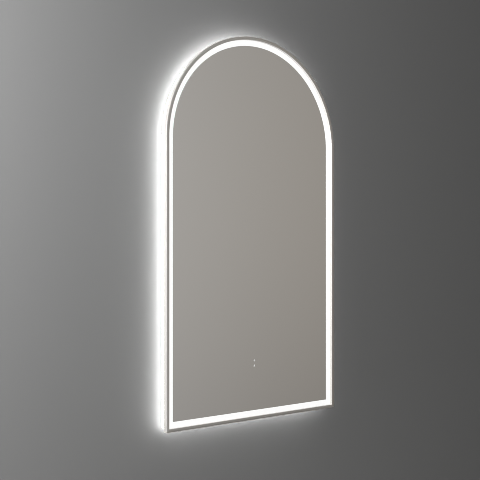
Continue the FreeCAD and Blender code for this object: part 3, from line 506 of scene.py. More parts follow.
class SweepTree(GeometryTree):
    """Carries a cross-section along the arch, with true mitres at the two feet."""

    SHARP = math.radians(28)

    def __init__(self) -> None:
        """Builds the tree once, for every swept piece."""
        super().__init__("arch_sweep")
        section = self.input("Section", "Geometry")
        self.half, self.foot, self.spring = self.inputs("Float", "Half width", "Foot height", "Spring height")
        self.steps, first, stations = self.inputs("Int", "Arc steps", "First station", "Stations")
        capped = self.input("Capped", "Bool")
        material = self.input("Material", "Material")

        sheet, row, column = self.rows_of(section, stations)
        station = first + row
        position = self.position()
        corner = self.sampled(section, "FLOAT_VECTOR", position, column)
        stored_run = self.node("GeometryNodeInputNamedAttribute", {"data_type": "FLOAT"}, {"Name": "run"})
        run = self.sampled(section, "FLOAT", stored_run["Attribute"], column)
        flat = self.vector(X=self.travel(station), Y=run)
        mapped = self.changed("StoreNamedAttribute", sheet, {"Name": "UVMap", "Value": flat},
                              {"data_type": "FLOAT2", "domain": "CORNER"})
        skin = self.placed(mapped, station, corner)

        curve = self.node("GeometryNodeMeshToCurve", inputs={"Mesh": self.welded(section)})["Curve"]
        lid = self.node("GeometryNodeFillCurve", {"mode": "NGONS"}, {"Curve": curve})["Mesh"]
        near = self.placed(lid, first, position)
        far = self.placed(lid, first + stations - 1, position)
        flipped = self.node("GeometryNodeFlipFaces", inputs={"Mesh": far})["Mesh"]
        kept = self.node("GeometryNodeSwitch", {"input_type": "GEOMETRY"},
                         {"Switch": capped, "True": self.joined(near, flipped)})["Output"]
        self.output_in(material, self.smoothed(self.welded(self.joined(skin, kept)), self.SHARP))

    def along_arc(self, station: Wire) -> Wire:
        """Share of the half circle that lies behind a station, 0 at the left and 1 at the right."""
        return self.clamp((station - 1) / self.steps)

    def travel(self, station: Wire) -> Wire:
        """Measures the outline.

        Args:
            station: A station's number.

        Returns:
            The distance along the outline from the left foot to the station.
        """
        # Stations are whole numbers, so each is told from the next at the half between them.
        side = self.spring - self.foot
        arc = self.along_arc(station) * self.half * math.pi
        past_right = side * (station > self.steps + 1.5)
        back_again = self.half * 2 * (station > self.steps + 2.5)
        return side * (station > 0.5) + arc + past_right + back_again

    def placed(self, geometry: Wire, station: Wire, corner: Wire) -> Wire:
        """Moves points given as inset and level to their station of the arch.

        Args:
            geometry: What is moved.
            station: The station's number, the same or one for each point.
            corner: The inset and the level of each point.

        Returns:
            The geometry in place.
        """
        split = self.parts(corner)
        inset, level = split["X"], split["Y"]
        wrapped = station % (self.steps + 3)
        turn = math.pi * (1 - self.along_arc(wrapped))
        reach = self.half - inset
        at_foot = (wrapped < 0.5) + (wrapped > self.steps + 1.5)
        across, up = self.on_circle(turn, reach)
        height = at_foot * (self.foot + inset) + (1 - at_foot) * (self.spring + up)
        return self.moved(geometry, self.vector(X=across, Y=0 - level, Z=height))


# --- Finishes ------------------------------------------------------------------------------------
class Texture(Enum):
    """What the surface of a finish is like from close by."""

    BRUSHED = "brushed along its length"
    SILVERED = "silvered glass"
    LIT = "lit opal"
    ORANGE_PEEL = "powder coat"
    SPANGLED = "zinc spangle"
    MOULDED = "moulded or plain"
    PRINTED = "printed tracks"
    STRIPED = "two-colour insulation"


@dataclass(frozen=True)
class Grain:
    """Fine grain and broad patches of a surface, and how much they change it."""

    spread: float  # of the roughness, from the lows to the highs of the fine grain
    relief: float  # strength of the bump that the fine grain makes
    patches: Triple = (25.0, 25.0, 25.0)  # per metre
    patch_spread: float = 0.0  # of the roughness, as above but over the patches
    detail: float = 3.0
    fine_share: float = 1.0  # times the finish's own grain


@dataclass(frozen=True)
class Bands:
    """Bands of a second colour."""

    edge: float  # height of a sine wave above which the second colour starts
    rougher: float  # added to the roughness where it is


GRAINS = {
    Texture.BRUSHED: Grain(0.10, 0.35, (9.0, 60.0, 1.0), 0.06, detail=5.0),
    Texture.ORANGE_PEEL: Grain(0.08, 0.5, (8.0, 8.0, 8.0), detail=1.0),
    Texture.SPANGLED: Grain(0.06, 0.25, patch_spread=0.10, fine_share=6.0),
    Texture.MOULDED: Grain(0.10, 0.4),
}
BANDS = {Texture.PRINTED: Bands(0.55, -0.12), Texture.STRIPED: Bands(0.2, 0.05)}


@dataclass(frozen=True)
class Finish:
    """One finish of the record's material slots."""

    SCRATCHES = 14.0  # per metre along a swept piece
    SILVER_PATCHES = 6.0  # per metre
    SILVER_SPREAD = 0.006  # of the roughness
    LIT_PATCHES = 60.0  # per metre
    TO_WALL = 0.5  # least part of a normal that points at the wall
    DIMS_FROM = 0.17  # metres right of the middle, where a glow starts to dim
    DIMS_OVER = 0.06  # metres

    slot: str
    colour: Triple
    roughness: float
    texture: Texture = Texture.MOULDED
    metallic: float = 0.0
    grain: float = 900.0  # cells per metre, or radians per metre where it has bands
    variation: float = 0.08  # share of the colour
    relief: float = 0.05 * MILLIMETRE
    glow: float = 0.0
    side_share: float = 1.0  # of the glow on what isn't turned to the wall
    right_share: float = 1.0  # of the glow at the right side
    second: Triple = (0.0, 0.0, 0.0)

    def build(self) -> bpy.types.Material:
        """Makes the finish as a material.

        Returns:
            The material, named after the slot.
        """
        material = bpy.data.materials.new(self.slot)
        graph = Graph.emptied(material)
        if self.texture in GRAINS:
            look = self.grained(graph, GRAINS[self.texture])
        elif self.texture in BANDS:
            look = self.banded(graph, BANDS[self.texture])
        else:
            look = self.lit(graph) if self.texture is Texture.LIT else self.silvered(graph)
        shader = graph.node("ShaderNodeBsdfPrincipled", inputs={"Metallic": self.metallic, **look})
        graph.node("ShaderNodeOutputMaterial", inputs={"Surface": shader["BSDF"]})
        return material

    def shade(self, share: float) -> tuple[float, float, float, float]:
        """The base colour made lighter or darker by a share."""
        return (*(min(1.0, part * (1 + share)) for part in self.colour), 1.0)

    def noise(self, graph: Graph, scale: Triple, detail: float = 3.0, on_map: bool = False) -> Wire:
        """Noise on the piece's own coordinates, or on its UV map.

        Args:
            graph: The material's tree.
            scale: Cells per metre on each axis.
            detail: How many octaves are added.
            on_map: Whether the pattern follows the UV map.

        Returns:
            Noise from 0 to 1.
        """
        place = graph.node("ShaderNodeUVMap", {"uv_map": "UVMap"})["UV"] if on_map else graph.place()
        mapped = graph.node("ShaderNodeMapping", inputs={"Vector": place, "Scale": scale})["Vector"]
        return graph.node("ShaderNodeTexNoise", inputs={
            "Vector": mapped, "Scale": 1.0, "Detail": detail})["Fac"]

    def tinted(self, graph: Graph, mask: Wire) -> Wire:
        """The base colour, darker where the mask is low and lighter where it is high."""
        return graph.blend(mask, self.shade(-self.variation), self.shade(self.variation))

    def grained(self, graph: Graph, grain: Grain) -> dict[str, Any]:
        """A surface with a fine grain and broader patches.

        Args:
            graph: The material's tree.
            grain: The kind of grain.

        Returns:
            The shader's inputs by name.
        """
        if self.texture is Texture.BRUSHED:
            fine = self.noise(graph, (self.SCRATCHES, self.grain, 1.0), grain.detail, on_map=True)
            patches = self.noise(graph, grain.patches, on_map=True)
        elif self.texture is Texture.SPANGLED:
            fine = self.noise(graph, (self.grain * grain.fine_share,) * 3, grain.detail)
            crystals = graph.node("ShaderNodeTexVoronoi", inputs={
                "Vector": graph.place(), "Scale": self.grain})["Color"]
            patches = graph.node("ShaderNodeSeparateColor", inputs={"Color": crystals})["Red"]
        else:
            fine = self.noise(graph, (self.grain,) * 3, grain.detail)
            patches = self.noise(graph, grain.patches)
        relief = {"Strength": grain.relief, "Distance": self.relief, "Height": fine}
        return {
            "Base Color": self.tinted(graph, fine if self.texture is Texture.BRUSHED else patches),
            "Roughness": self.roughness + grain.spread * (fine - 0.5) + grain.patch_spread * (patches - 0.5),
            "Normal": graph.node("ShaderNodeBump", inputs=relief)["Normal"],
        }

    def banded(self, graph: Graph, bands: Bands) -> dict[str, Any]:
        """Film or board with printed tracks across it, or insulation with a stripe round it.

        Args:
            graph: The material's tree.
            bands: The kind of bands.

        Returns:
            The shader's inputs by name.
        """
        place = graph.parts(graph.place())
        run = place["Z"] if self.texture is Texture.PRINTED else place["X"] + place["Y"] + place["Z"]
        second = graph.math("SINE", run * self.grain) > bands.edge
        return {
            "Base Color": graph.blend(second, self.shade(0.0), (*self.second, 1.0)),
            "Roughness": self.roughness + bands.rougher * second,
        }

    def silvered(self, graph: Graph) -> dict[str, Any]:
        """Flat silvered glass with the faint unevenness of its silver.

        Args:
            graph: The material's tree.

        Returns:
            The shader's inputs by name.
        """
        patches = self.noise(graph, (self.SILVER_PATCHES,) * 3, detail=1.0)
        return {
            "Base Color": self.tinted(graph, patches),
            "Roughness": self.roughness + self.SILVER_SPREAD * patches,
        }

    def lit(self, graph: Graph) -> dict[str, Any]:
        """Opal acrylic lit from behind, a little uneven along its length.

        Args:
            graph: The material's tree.

        Returns:
            The shader's inputs by name.
        """
        patches = self.noise(graph, (self.LIT_PATCHES,) * 3, detail=1.0)
        to_wall = graph.parts(graph.node("ShaderNodeNewGeometry")["Normal"])["Y"] > self.TO_WALL
        at_right = graph.clamp((graph.parts(graph.place())["X"] - self.DIMS_FROM) / self.DIMS_OVER)
        share = (self.side_share + (1 - self.side_share) * to_wall) * (1 - (1 - self.right_share) * at_right)
        return {
            "Base Color": (*self.colour, 1.0), "Roughness": self.roughness,
            "Emission Color": graph.scaled(self.tinted(graph, patches), share),
            "Emission Strength": self.glow,
        }


FINISHES = (
    Finish("frame_metal", (0.55, 0.535, 0.515), 0.30, Texture.BRUSHED, 0.86, 5200.0, 0.05),
    Finish("mirror", (0.90, 0.90, 0.90), 0.012, Texture.SILVERED, 1.0, variation=0.004),
    Finish("opal_band", (0.15, 0.15, 0.149), 0.35, Texture.LIT, glow=5.5, variation=0.02),
    # As in the photograph, the glow is strong at the left and all but gone at the right.
    Finish("opal_cover", (0.94, 0.94, 0.935), 0.40, Texture.LIT, glow=52.0, variation=0.03,
           side_share=0.36, right_share=0.35),
    Finish("key_steel", (0.55, 0.55, 0.55), 0.38, metallic=1.0),
    Finish("tape", (0.03, 0.03, 0.03), 0.85, grain=2500.0),
    Finish("film", (0.42, 0.44, 0.47), 0.45),
    Finish("tray_white", (0.80, 0.80, 0.79), 0.42, Texture.ORANGE_PEEL, grain=650.0, variation=0.015),
    Finish("zinc_steel", (0.66, 0.67, 0.68), 0.30, Texture.SPANGLED, 1.0, 420.0, 0.12),
    Finish("carrier_aluminium", (0.72, 0.72, 0.73), 0.35, metallic=1.0),
    Finish("rivet_aluminium", (0.72, 0.72, 0.73), 0.34, metallic=1.0, grain=2500.0),
    Finish("strip_white", (0.85, 0.85, 0.83), 0.45, Texture.PRINTED, grain=376.0, second=(0.60, 0.42, 0.22)),
    Finish("led_phosphor", (0.92, 0.86, 0.52), 0.30, grain=3000.0),
    Finish("rubber_black", (0.022, 0.022, 0.022), 0.62, grain=1600.0, variation=0.2),
    Finish("rubber_grey", (0.075, 0.075, 0.075), 0.70, grain=1600.0, variation=0.2),
    Finish("plastic_black", (0.025, 0.025, 0.027), 0.40, variation=0.15),
    Finish("board_green", (0.02, 0.13, 0.06), 0.35, Texture.PRINTED, grain=2500.0, second=(0.05, 0.22, 0.10)),
    Finish("copper", (0.78, 0.43, 0.27), 0.30, metallic=1.0),
    Finish("clear_plastic", (0.30, 0.307, 0.31), 0.15, Texture.LIT, glow=1.9, variation=0.03),
    Finish("heating_film", (0.04, 0.04, 0.04), 0.50, Texture.PRINTED, grain=520.0, second=(0.30, 0.28, 0.26)),
    Finish("plastic_white", (0.82, 0.82, 0.80), 0.42, variation=0.02),
    Finish("plastic_grey", (0.20, 0.21, 0.22), 0.48),
    Finish("brass_screw", (0.75, 0.58, 0.28), 0.28, metallic=1.0),
    Finish("tinned_copper", (0.70, 0.69, 0.67), 0.32, metallic=1.0),
    Finish("lead_white", (0.80, 0.80, 0.78), 0.45, variation=0.03),
    Finish("lead_earth", (0.10, 0.33, 0.06), 0.45, Texture.STRIPED, grain=700.0, second=(0.75, 0.62, 0.05)),
    Finish("lead_black", (0.03, 0.03, 0.03), 0.45, variation=0.2),
    Finish("rail_steel", (0.62, 0.63, 0.64), 0.36, Texture.SPANGLED, 1.0, 150.0, 0.07),
    Finish("foam", (0.06, 0.06, 0.06), 0.90, grain=1800.0, variation=0.25),
)


# --- Front of the mirror -------------------------------------------------------------------------
@dataclass(frozen=True)
class Run:
    """One length of a swept part, shown instead of one CAD node."""

    name: str
    node: str
    span: Span = Span.ALL_ROUND
    end_gap: float = 0.0  # how far its ends stand back from the mitres


@dataclass(frozen=True)
class SweptPart:
    """A part with one cross-section all along the outline."""

    arch: Arch
    slot: str = ""
    runs: tuple[Run, ...] = ()

    def corners(self) -> list[Corner]:
        """The corners of the cross-section, in order."""
        raise NotImplementedError

    def build(self, tree: SweepTree, palette: Palette) -> None:
        """Adds each length.

        Args:
            tree: The tree that sweeps a section along the outline.
            palette: The finishes.
        """
        arch = self.arch
        stretches = {  # the first station and how many there are
            Span.OVER_THE_TOP: (0, arch.steps + 3),
            Span.ALONG_THE_FOOT: (arch.steps + 2, 2),
            Span.ALL_ROUND: (0, arch.steps + 4),
        }
        for run in self.runs:
            first, stations = stretches[run.span]
            mesh = tree.make(run.name, section_mesh(self.corners()), {
                "Half width": arch.half - run.end_gap, "Foot height": arch.foot,
                "Spring height": arch.spring, "Arc steps": arch.steps, "First station": first,
                "Stations": stations, "Capped": run.span is not Span.ALL_ROUND,
                "Material": palette[self.slot]})
            add_piece(run.name, mesh, [run.node])


@dataclass(frozen=True)
class FrameExtrusion(SweptPart):
    """Aluminium extrusion round the outline: an arch in one length and a rail across its feet."""

    slot: str = "frame_metal"
    runs: tuple[Run, ...] = (
        Run("frame_arch_extrusion", "frame_arch", Span.OVER_THE_TOP),
        Run("frame_bottom_extrusion", "frame_bottom_rail", Span.ALONG_THE_FOOT, 0.12 * MILLIMETRE),
    )
    face_width: float = 7.4 * MILLIMETRE
    face_thickness: float = 2.0 * MILLIMETRE
    channel: float = 3.5 * MILLIMETRE
    front_radius: float = 0.2 * MILLIMETRE
    back_radius: float = 0.2 * MILLIMETRE

    def corners(self) -> list[Corner]:
        """Draws the outer wall, the face, the lip and the channel between them.

        Returns:
            The corners, in order.
        """
        back, front = level_range("frame_arch")
        lip_end = level_range("mirror_pane")[1]
        under_face = front - self.face_thickness
        wall = (self.face_width - self.channel) / 2
        lip = self.face_width - wall
        return [
            Corner(0.0, back, self.back_radius), Corner(0.0, front, self.front_radius),
            Corner(self.face_width, front, self.front_radius),
            Corner(self.face_width, lip_end, self.back_radius),
            Corner(lip, lip_end), Corner(lip, under_face), Corner(wall, under_face), Corner(wall, back),
        ]


@dataclass(frozen=True)
class LightBand(SweptPart):
    """Opal ring between the frame's lip and the pane, with the ledge that the pane lies on."""

    slot: str = "opal_band"
    runs: tuple[Run, ...] = (Run("opal_light_band", "light_band"),)
    outer_inset: float = 5.8 * MILLIMETRE
    pane_joint: float = 0.2 * MILLIMETRE
    web: float = 2.0 * MILLIMETRE
    edge_radius: float = 0.3 * MILLIMETRE
    film_gap: float = 1.0 * MILLIMETRE

    def corners(self) -> list[Corner]:
        """Draws the band and its ledge.

        Returns:
            The corners, in order.
        """
        ledge_back, front = level_range("light_band")
        back = level_range("mirror_pane")[0]
        ledge_front = ledge_back + self.web
        inner = self.arch.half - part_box("mirror_pane")[1].x - self.pane_joint
        ledge_inner = self.arch.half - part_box("safety_film")[1].x - self.film_gap
        return [
            Corner(self.outer_inset, back), Corner(self.outer_inset, front),
            Corner(inner, front, self.edge_radius), Corner(inner, ledge_front),
            Corner(ledge_inner, ledge_front), Corner(ledge_inner, ledge_back),
            Corner(inner - self.web, ledge_back), Corner(inner - self.web, back),
        ]


@dataclass(frozen=True)
class MirrorPane:
    """Silvered pane with a ground arris on both edges."""

    arris: float = 0.15 * MILLIMETRE
    edge: Finish = Finish("pane_edge", (0.12, 0.16, 0.145), 0.25, variation=0.1)

    def build(self, arch: Arch, palette: Palette) -> None:
        """Adds the pane, silvered on its faces and greenish on its ground edge.

        Args:
            arch: The mirror's outline.
            palette: The finishes.
        """
        back, front = level_range("mirror_pane")
        inset = arch.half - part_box("mirror_pane")[1].x
        rims = [(inset + self.arris, front), (inset, front - self.arris),
                (inset, back + self.arris), (inset + self.arris, back)]
        plate = bmesh.new()
        loops = [[plate.verts.new((x, -level, z)) for x, z in arch.loop(rim)] for rim, level in rims]
        for outer, inner in zip(loops, loops[1:]):
            for number in range(len(outer)):
                previous = number - 1
                edge = plate.faces.new((outer[previous], outer[number], inner[number], inner[previous]))
                edge.material_index = 1
        plate.faces.new(loops[0])
        plate.faces.new(loops[-1])
        mesh = bpy.data.meshes.new("silvered_pane")
        plate.to_mesh(mesh)
        plate.free()
        mesh.materials.append(palette["mirror"])
        mesh.materials.append(self.edge.build())
        add_piece("silvered_pane", turned_outwards(mesh), ["mirror_pane"])


@dataclass(frozen=True)
class HaloCover(SweptPart):
    """Opal channel over the lamp strip on the tray's outer wall."""

    slot: str = "opal_cover"
    runs: tuple[Run, ...] = (Run("opal_halo_cover", "halo_cover"),)
    wall: float = 0.8 * MILLIMETRE
    depth: float = 2.4 * MILLIMETRE
    corner_radius: float = 0.7 * MILLIMETRE

    def corners(self) -> list[Corner]:
        """Draws the channel, open to the inside.

        Returns:
            The corners, in order.
        """
        low, high = level_range("halo_cover")
        outer = self.arch.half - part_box("halo_cover")[1].x
        seat = outer + self.depth
        return [
            Corner(seat, low), Corner(outer, low, self.corner_radius),
            Corner(outer, high, self.corner_radius), Corner(seat, high),
            Corner(seat, high - self.wall), Corner(outer + self.wall, high - self.wall),
            Corner(outer + self.wall, low + self.wall), Corner(seat, low + self.wall),
        ]


# --- Touch marks ---------------------------------------------------------------------------------
class StrokeTree(GeometryTree):
    """Gives lines drawn in the XY plane a flat section, and stands them up on a level off the wall."""

    def __init__(self) -> None:
        """Builds the tree once, for every mark."""
        super().__init__("etched_stroke")
        lines = self.input("Lines", "Geometry")
        width, thickness, level = self.inputs("Float", "Width", "Thickness", "Level")
        material = self.input("Material", "Material")
        curve = self.node("GeometryNodeMeshToCurve", inputs={"Mesh": lines})["Curve"]
        upright = self.node("GeometryNodeSetCurveNormal", {"mode": "Z_UP"}, {"Curve": curve})["Curve"]
        section = self.node("GeometryNodeCurvePrimitiveQuadrilateral", {"mode": "RECTANGLE"},
                            {"Width": width, "Height": thickness})["Curve"]
        strip = self.node("GeometryNodeCurveToMesh", inputs={
            "Curve": upright, "Profile Curve": section, "Fill Caps": True})["Mesh"]
        flat = self.parts(self.position())
        stood = self.vector(X=flat["X"], Y=0 - level - flat["Z"], Z=flat["Y"])
        self.output_in(material, self.moved(strip, stood))


@dataclass(frozen=True)
class TouchMarks:
    """Two generic marks etched in the silver: an open ring with a bar, and three rising waves."""

    ring_radius: float = 1.5 * MILLIMETRE
    ring_gap: float = math.radians(64)
    bar_length: float = 1.8 * MILLIMETRE
    wave_height: float = 4.4 * MILLIMETRE
    wave_swing: float = 0.3 * MILLIMETRE
    wave_pitch: float = 1.4 * MILLIMETRE
    stroke: float = 0.6 * MILLIMETRE
    wave_stroke: float = 0.38 * MILLIMETRE
    thickness: float = 0.15 * MILLIMETRE
    steps: int = 24

    def ring_lines(self) -> list[list[tuple[float, float]]]:
        """Draws an open ring with a bar through its gap.

        Returns:
            The lines, as (across, up) points from the mark's middle.
        """
        radius = self.ring_radius
        turns = [self.ring_gap / 2 + (math.tau - self.ring_gap) * step / self.steps
                 for step in range(self.steps + 1)]
        ring = [(radius * math.sin(turn), radius * math.cos(turn)) for turn in turns]
        top = radius + self.stroke / 2
        return [ring, [(0.0, top), (0.0, top - self.bar_length)]]

    def wave_lines(self) -> list[list[tuple[float, float]]]:
        """Draws three upright waves side by side.

        Returns:
            The lines, as (across, up) points from the mark's middle.
        """
        shares = [step / self.steps for step in range(self.steps + 1)]
        return [[(place * self.wave_pitch + self.wave_swing * math.sin(math.tau * share),
                  self.wave_height * (share - 0.5)) for share in shares] for place in (-1, 0, 1)]

    def build(self, palette: Palette) -> None:
        """Adds both marks over their light pipes.

        Args:
            palette: The finishes.
        """
        tree = StrokeTree()
        low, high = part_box("icon_light_pipes")
        half = (high.x - low.x) / 2
        front = level_range("mirror_pane")[1]
        drawings = {
            "touch_mark_waves": (self.wave_lines(), low.z + half, self.wave_stroke),
            "touch_mark_ring": (self.ring_lines(), high.z - half, self.stroke),
        }
        for name, (lines, height, stroke) in drawings.items():
            raised = [[(x, y + height, 0.0) for x, y in line] for line in lines]
            mesh = tree.make(name, line_mesh("lines", raised), {
                "Width": stroke, "Thickness": self.thickness, "Level": front,
                "Material": palette["clear_plastic"]})
            add_piece(name, mesh)


# --- Screws and rivets ---------------------------------------------------------------------------
class Drive(Enum):
    """What the middle of a head looks like."""

    CROSS = "cross recess"
    MANDREL = "hole with the stub of a mandrel"


class FastenerTree(GeometryTree):
    """Turns a section round the Y axis, cuts a cross in its head and sets one at every seat."""

    SHARP = math.radians(35)

    def __init__(self) -> None:
        """Builds the tree once, for every kind."""
        super().__init__("fastener_pattern")
        parts = self.input("Parts", "Geometry")
        turns = self.input("Turns", "Int")
        top, length, width, depth = self.inputs(
            "Float", "Head top", "Recess length", "Recess width", "Recess depth")
        crossed = self.input("Crossed", "Bool")
        material = self.input("Material", "Material")

        marked = self.node("GeometryNodeInputNamedAttribute", {"data_type": "BOOLEAN"}, {"Name": "seat"})
        split = self.node("GeometryNodeSeparateGeometry", {"domain": "POINT"},
                          {"Geometry": parts, "Selection": marked["Attribute"]})
        seats, section = split["Selection"], split["Inverted"]
        body = self.turned(section, turns)
        cutters = [self.cutter((length, depth, width), top), self.cutter((width, depth, length), top)]
        cut = self.node("GeometryNodeMeshBoolean", {"operation": "DIFFERENCE", "solver": "EXACT"},
                        {0: body, 1: cutters})["Mesh"]
        chosen = self.node("GeometryNodeSwitch", {"input_type": "GEOMETRY"},
                           {"Switch": crossed, "False": body, "True": cut})["Output"]
        spread = self.node("GeometryNodeInstanceOnPoints",
                           inputs={"Points": seats, "Instance": chosen})["Instances"]
        self.output_in(material, self.smoothed(self.real(spread), self.SHARP))

    def turned(self, section: Wire, turns: Wire) -> Wire:
        """Turns a section round the Y axis.

        Args:
            section: Points of (radius, Y) from the tip to the top of the head.
            turns: How many sides the body has.

        Returns:
            The closed body.
        """
        sheet, row, column = self.rows_of(section, turns + 1)
        point = self.parts(self.sampled(section, "FLOAT_VECTOR", self.position(), column))
        across, up = self.on_circle(row * math.tau / turns, point["X"])
        return self.welded(self.moved(sheet, self.vector(X=across, Y=point["Y"], Z=up)))

    def cutter(self, size: tuple[Wire, Wire, Wire], top: Wire) -> Wire:
        """Makes one bar of the cross.

        Args:
            size: The bar's edges along X, Y and Z.
            top: Where the head ends along Y.

        Returns:
            A block sunk by half its depth into the head.
        """
        edges = self.vector(**dict(zip("XYZ", size)))
        block = self.node("GeometryNodeMeshCube", inputs={"Size": edges})["Mesh"]
        return self.changed("Transform", block, {"Translation": self.vector(Y=top)})


@dataclass(frozen=True)
class Fastener:
    """One kind of screw or rivet, which shows its head at the back."""

    node: str
    slot: str
    drive: Drive
    head_height: float
    shank_radius: float
    rim_height: float = 0.5 * MILLIMETRE
    tail_radius: float = 2.2 * MILLIMETRE
    tail_height: float = 1.5 * MILLIMETRE
    hole_radius: float = 0.95 * MILLIMETRE
    hole_depth: float = 0.6 * MILLIMETRE
    cross_length: float = 1.15  # share of the head's radius
    cross_width: float = 0.26  # share of the head's radius
    cross_depth: float = 1.1  # share of the head's height, half of it sunk
    dome_steps: int = 7
    turns: int = 32

    def section(self, head_radius: float, tip: float, top: float) -> list[Vector]:
        """Draws the half section.

        Args:
            head_radius: The head's radius.
            tip: Where the tip is along Y.
            top: Where the head ends along Y.

        Returns:
            (radius, Y) points from the tip to the top of the head.
        """
        seat = top - self.head_height
        tail, middle = [(self.shank_radius, tip)], 0.0
        if self.drive is Drive.MANDREL:
            end, middle = tip + self.tail_height, self.hole_radius
            tail = [(self.tail_radius, tip), (self.tail_radius, end), (self.shank_radius, end)]
        rise = self.head_height - self.rim_height
        turns = [math.pi / 2 * step / self.dome_steps for step in range(self.dome_steps + 1)]
        dome = [(middle + (head_radius - middle) * math.cos(turn),
                 seat + self.rim_height + rise * math.sin(turn)) for turn in turns]
        points = [(0.0, tip), *tail, (self.shank_radius, seat), (head_radius, seat), *dome]
        if middle:
            points += [(middle, top - self.hole_depth), (0.0, top - self.hole_depth)]
        return [Vector(point) for point in points]

    def build(self, tree: FastenerTree, palette: Palette) -> None:
        """Adds one at every place where the CAD node has one.

        Args:
            tree: The tree that turns and spreads the section.
            palette: The finishes.
        """
        boxes = solid_boxes(self.node)
        low, high = boxes[0]
        head_radius, tip, top = (high.x - low.x) / 2, low.y, high.y
        section = self.section(head_radius, tip, top)
        seats = [(low + high) / 2 for low, high in boxes]
        base = line_mesh(self.node + "_parts", [[(p.x, p.y, 0.0) for p in section]],
                         [(p.x, 0.0, p.z) for p in seats])
        marked = base.attributes.new("seat", "BOOLEAN", "POINT")
        for number in range(len(section), len(section) + len(seats)):
            marked.data[number].value = True
        name = self.node.rstrip("s") + "_set"
        mesh = tree.make(name, base, {
            "Turns": self.turns, "Head top": top, "Recess length": head_radius * self.cross_length,
            "Recess width": head_radius * self.cross_width,
            "Recess depth": self.head_height * self.cross_depth,
            "Crossed": self.drive is Drive.CROSS, "Material": palette[self.slot]})
        add_piece(name, mesh, [self.node])


def solid_boxes(node: str) -> list[tuple[Vector, Vector]]:
    """Finds the separate solids of a CAD node.

    Args:
        node: The node's name.

    Returns:
        The low and high corner of the box round each solid, in order.
    """
    shell = bmesh.new()
    shell.from_mesh(frame["nodes"][node].data)
    bmesh.ops.remove_doubles(shell, verts=shell.verts, dist=WELD)
    unseen = set(shell.verts)
    boxes = []
    while unseen:
        reached, waiting = [], [unseen.pop()]
        while waiting:
            vertex = waiting.pop()
            reached.append(vertex.co.copy())
            others = {edge.other_vert(vertex) for edge in vertex.link_edges} & unseen
            unseen -= others
            waiting += others
        boxes.append((Vector(map(min, zip(*reached))), Vector(map(max, zip(*reached)))))
    shell.free()
    return sorted(boxes, key=lambda box: tuple(box[0]))


FASTENERS = (
    Fastener("tray_screws", "zinc_steel", Drive.CROSS, 2.4 * MILLIMETRE, 1.75 * MILLIMETRE),
    Fastener("access_cover_screws", "zinc_steel", Drive.CROSS, 1.8 * MILLIMETRE, 1.5 * MILLIMETRE),
    Fastener("carrier_rivets", "rivet_aluminium", Drive.MANDREL, 1.0 * MILLIMETRE, 1.6 * MILLIMETRE),
    Fastener("hanger_rivets", "rivet_aluminium", Drive.MANDREL, 1.0 * MILLIMETRE, 1.6 * MILLIMETRE),
)


# --- Stage ---------------------------------------------------------------------------------------
@dataclass(frozen=True)
class Lamp:
    """Soft lamp of the studio, a sheet of light."""

    name: str
    place: Triple
    target: Triple
    width: float
    height: float
    watts: float
    shadow: bool = True

    def build(self) -> None:
        """Adds the lamp, turned to its target."""
        data = bpy.data.lights.new(self.name, "AREA")
        data.shape, data.size, data.size_y = "RECTANGLE", self.width, self.height
        data.energy, data.use_shadow = self.watts, self.shadow
        lamp = add_object(self.name, data)
        lamp.location = self.place
        towards = Vector(self.target) - Vector(self.place)
        lamp.rotation_euler = towards.to_track_quat("-Z", "Y").to_euler()


@dataclass(frozen=True)
class SoftSky:
    """Light from all round, brighter at the left and above, and warmer at the right."""

    level: float = 0.697
    fall_across: float = 0.556
    rise_up: float = 0.162
    bend_up: float = 1.09
    darkest: float = 0.20
    brightest: float = 0.42
    warm_from: float = 0.3
    warm_over: float = 0.4
    warm_tint: Triple = (1.0, 0.925, 0.83)

    def build(self) -> None:
        """Makes the world."""
        world = bpy.data.worlds.new("studio")
        bpy.context.scene.world = world
        graph = Graph.emptied(world)
        direction = graph.parts(graph.node("ShaderNodeTexCoord")["Generated"])
        across, height = direction["X"], direction["Z"]
        level = self.level - self.fall_across * across + height * (self.rise_up - self.bend_up * height)
        bounded = graph.clamp(level, self.darkest, self.brightest)
        warmth = graph.clamp((across - self.warm_from) / self.warm_over)
        tint = graph.blend(warmth, (1.0, 1.0, 1.0, 1.0), (*self.warm_tint, 1.0))
        background = graph.node("ShaderNodeBackground", inputs={
            "Color": graph.scaled(tint, bounded), "Strength": 1.0})
        graph.node("ShaderNodeOutputWorld", inputs={"Surface": background["Background"]})


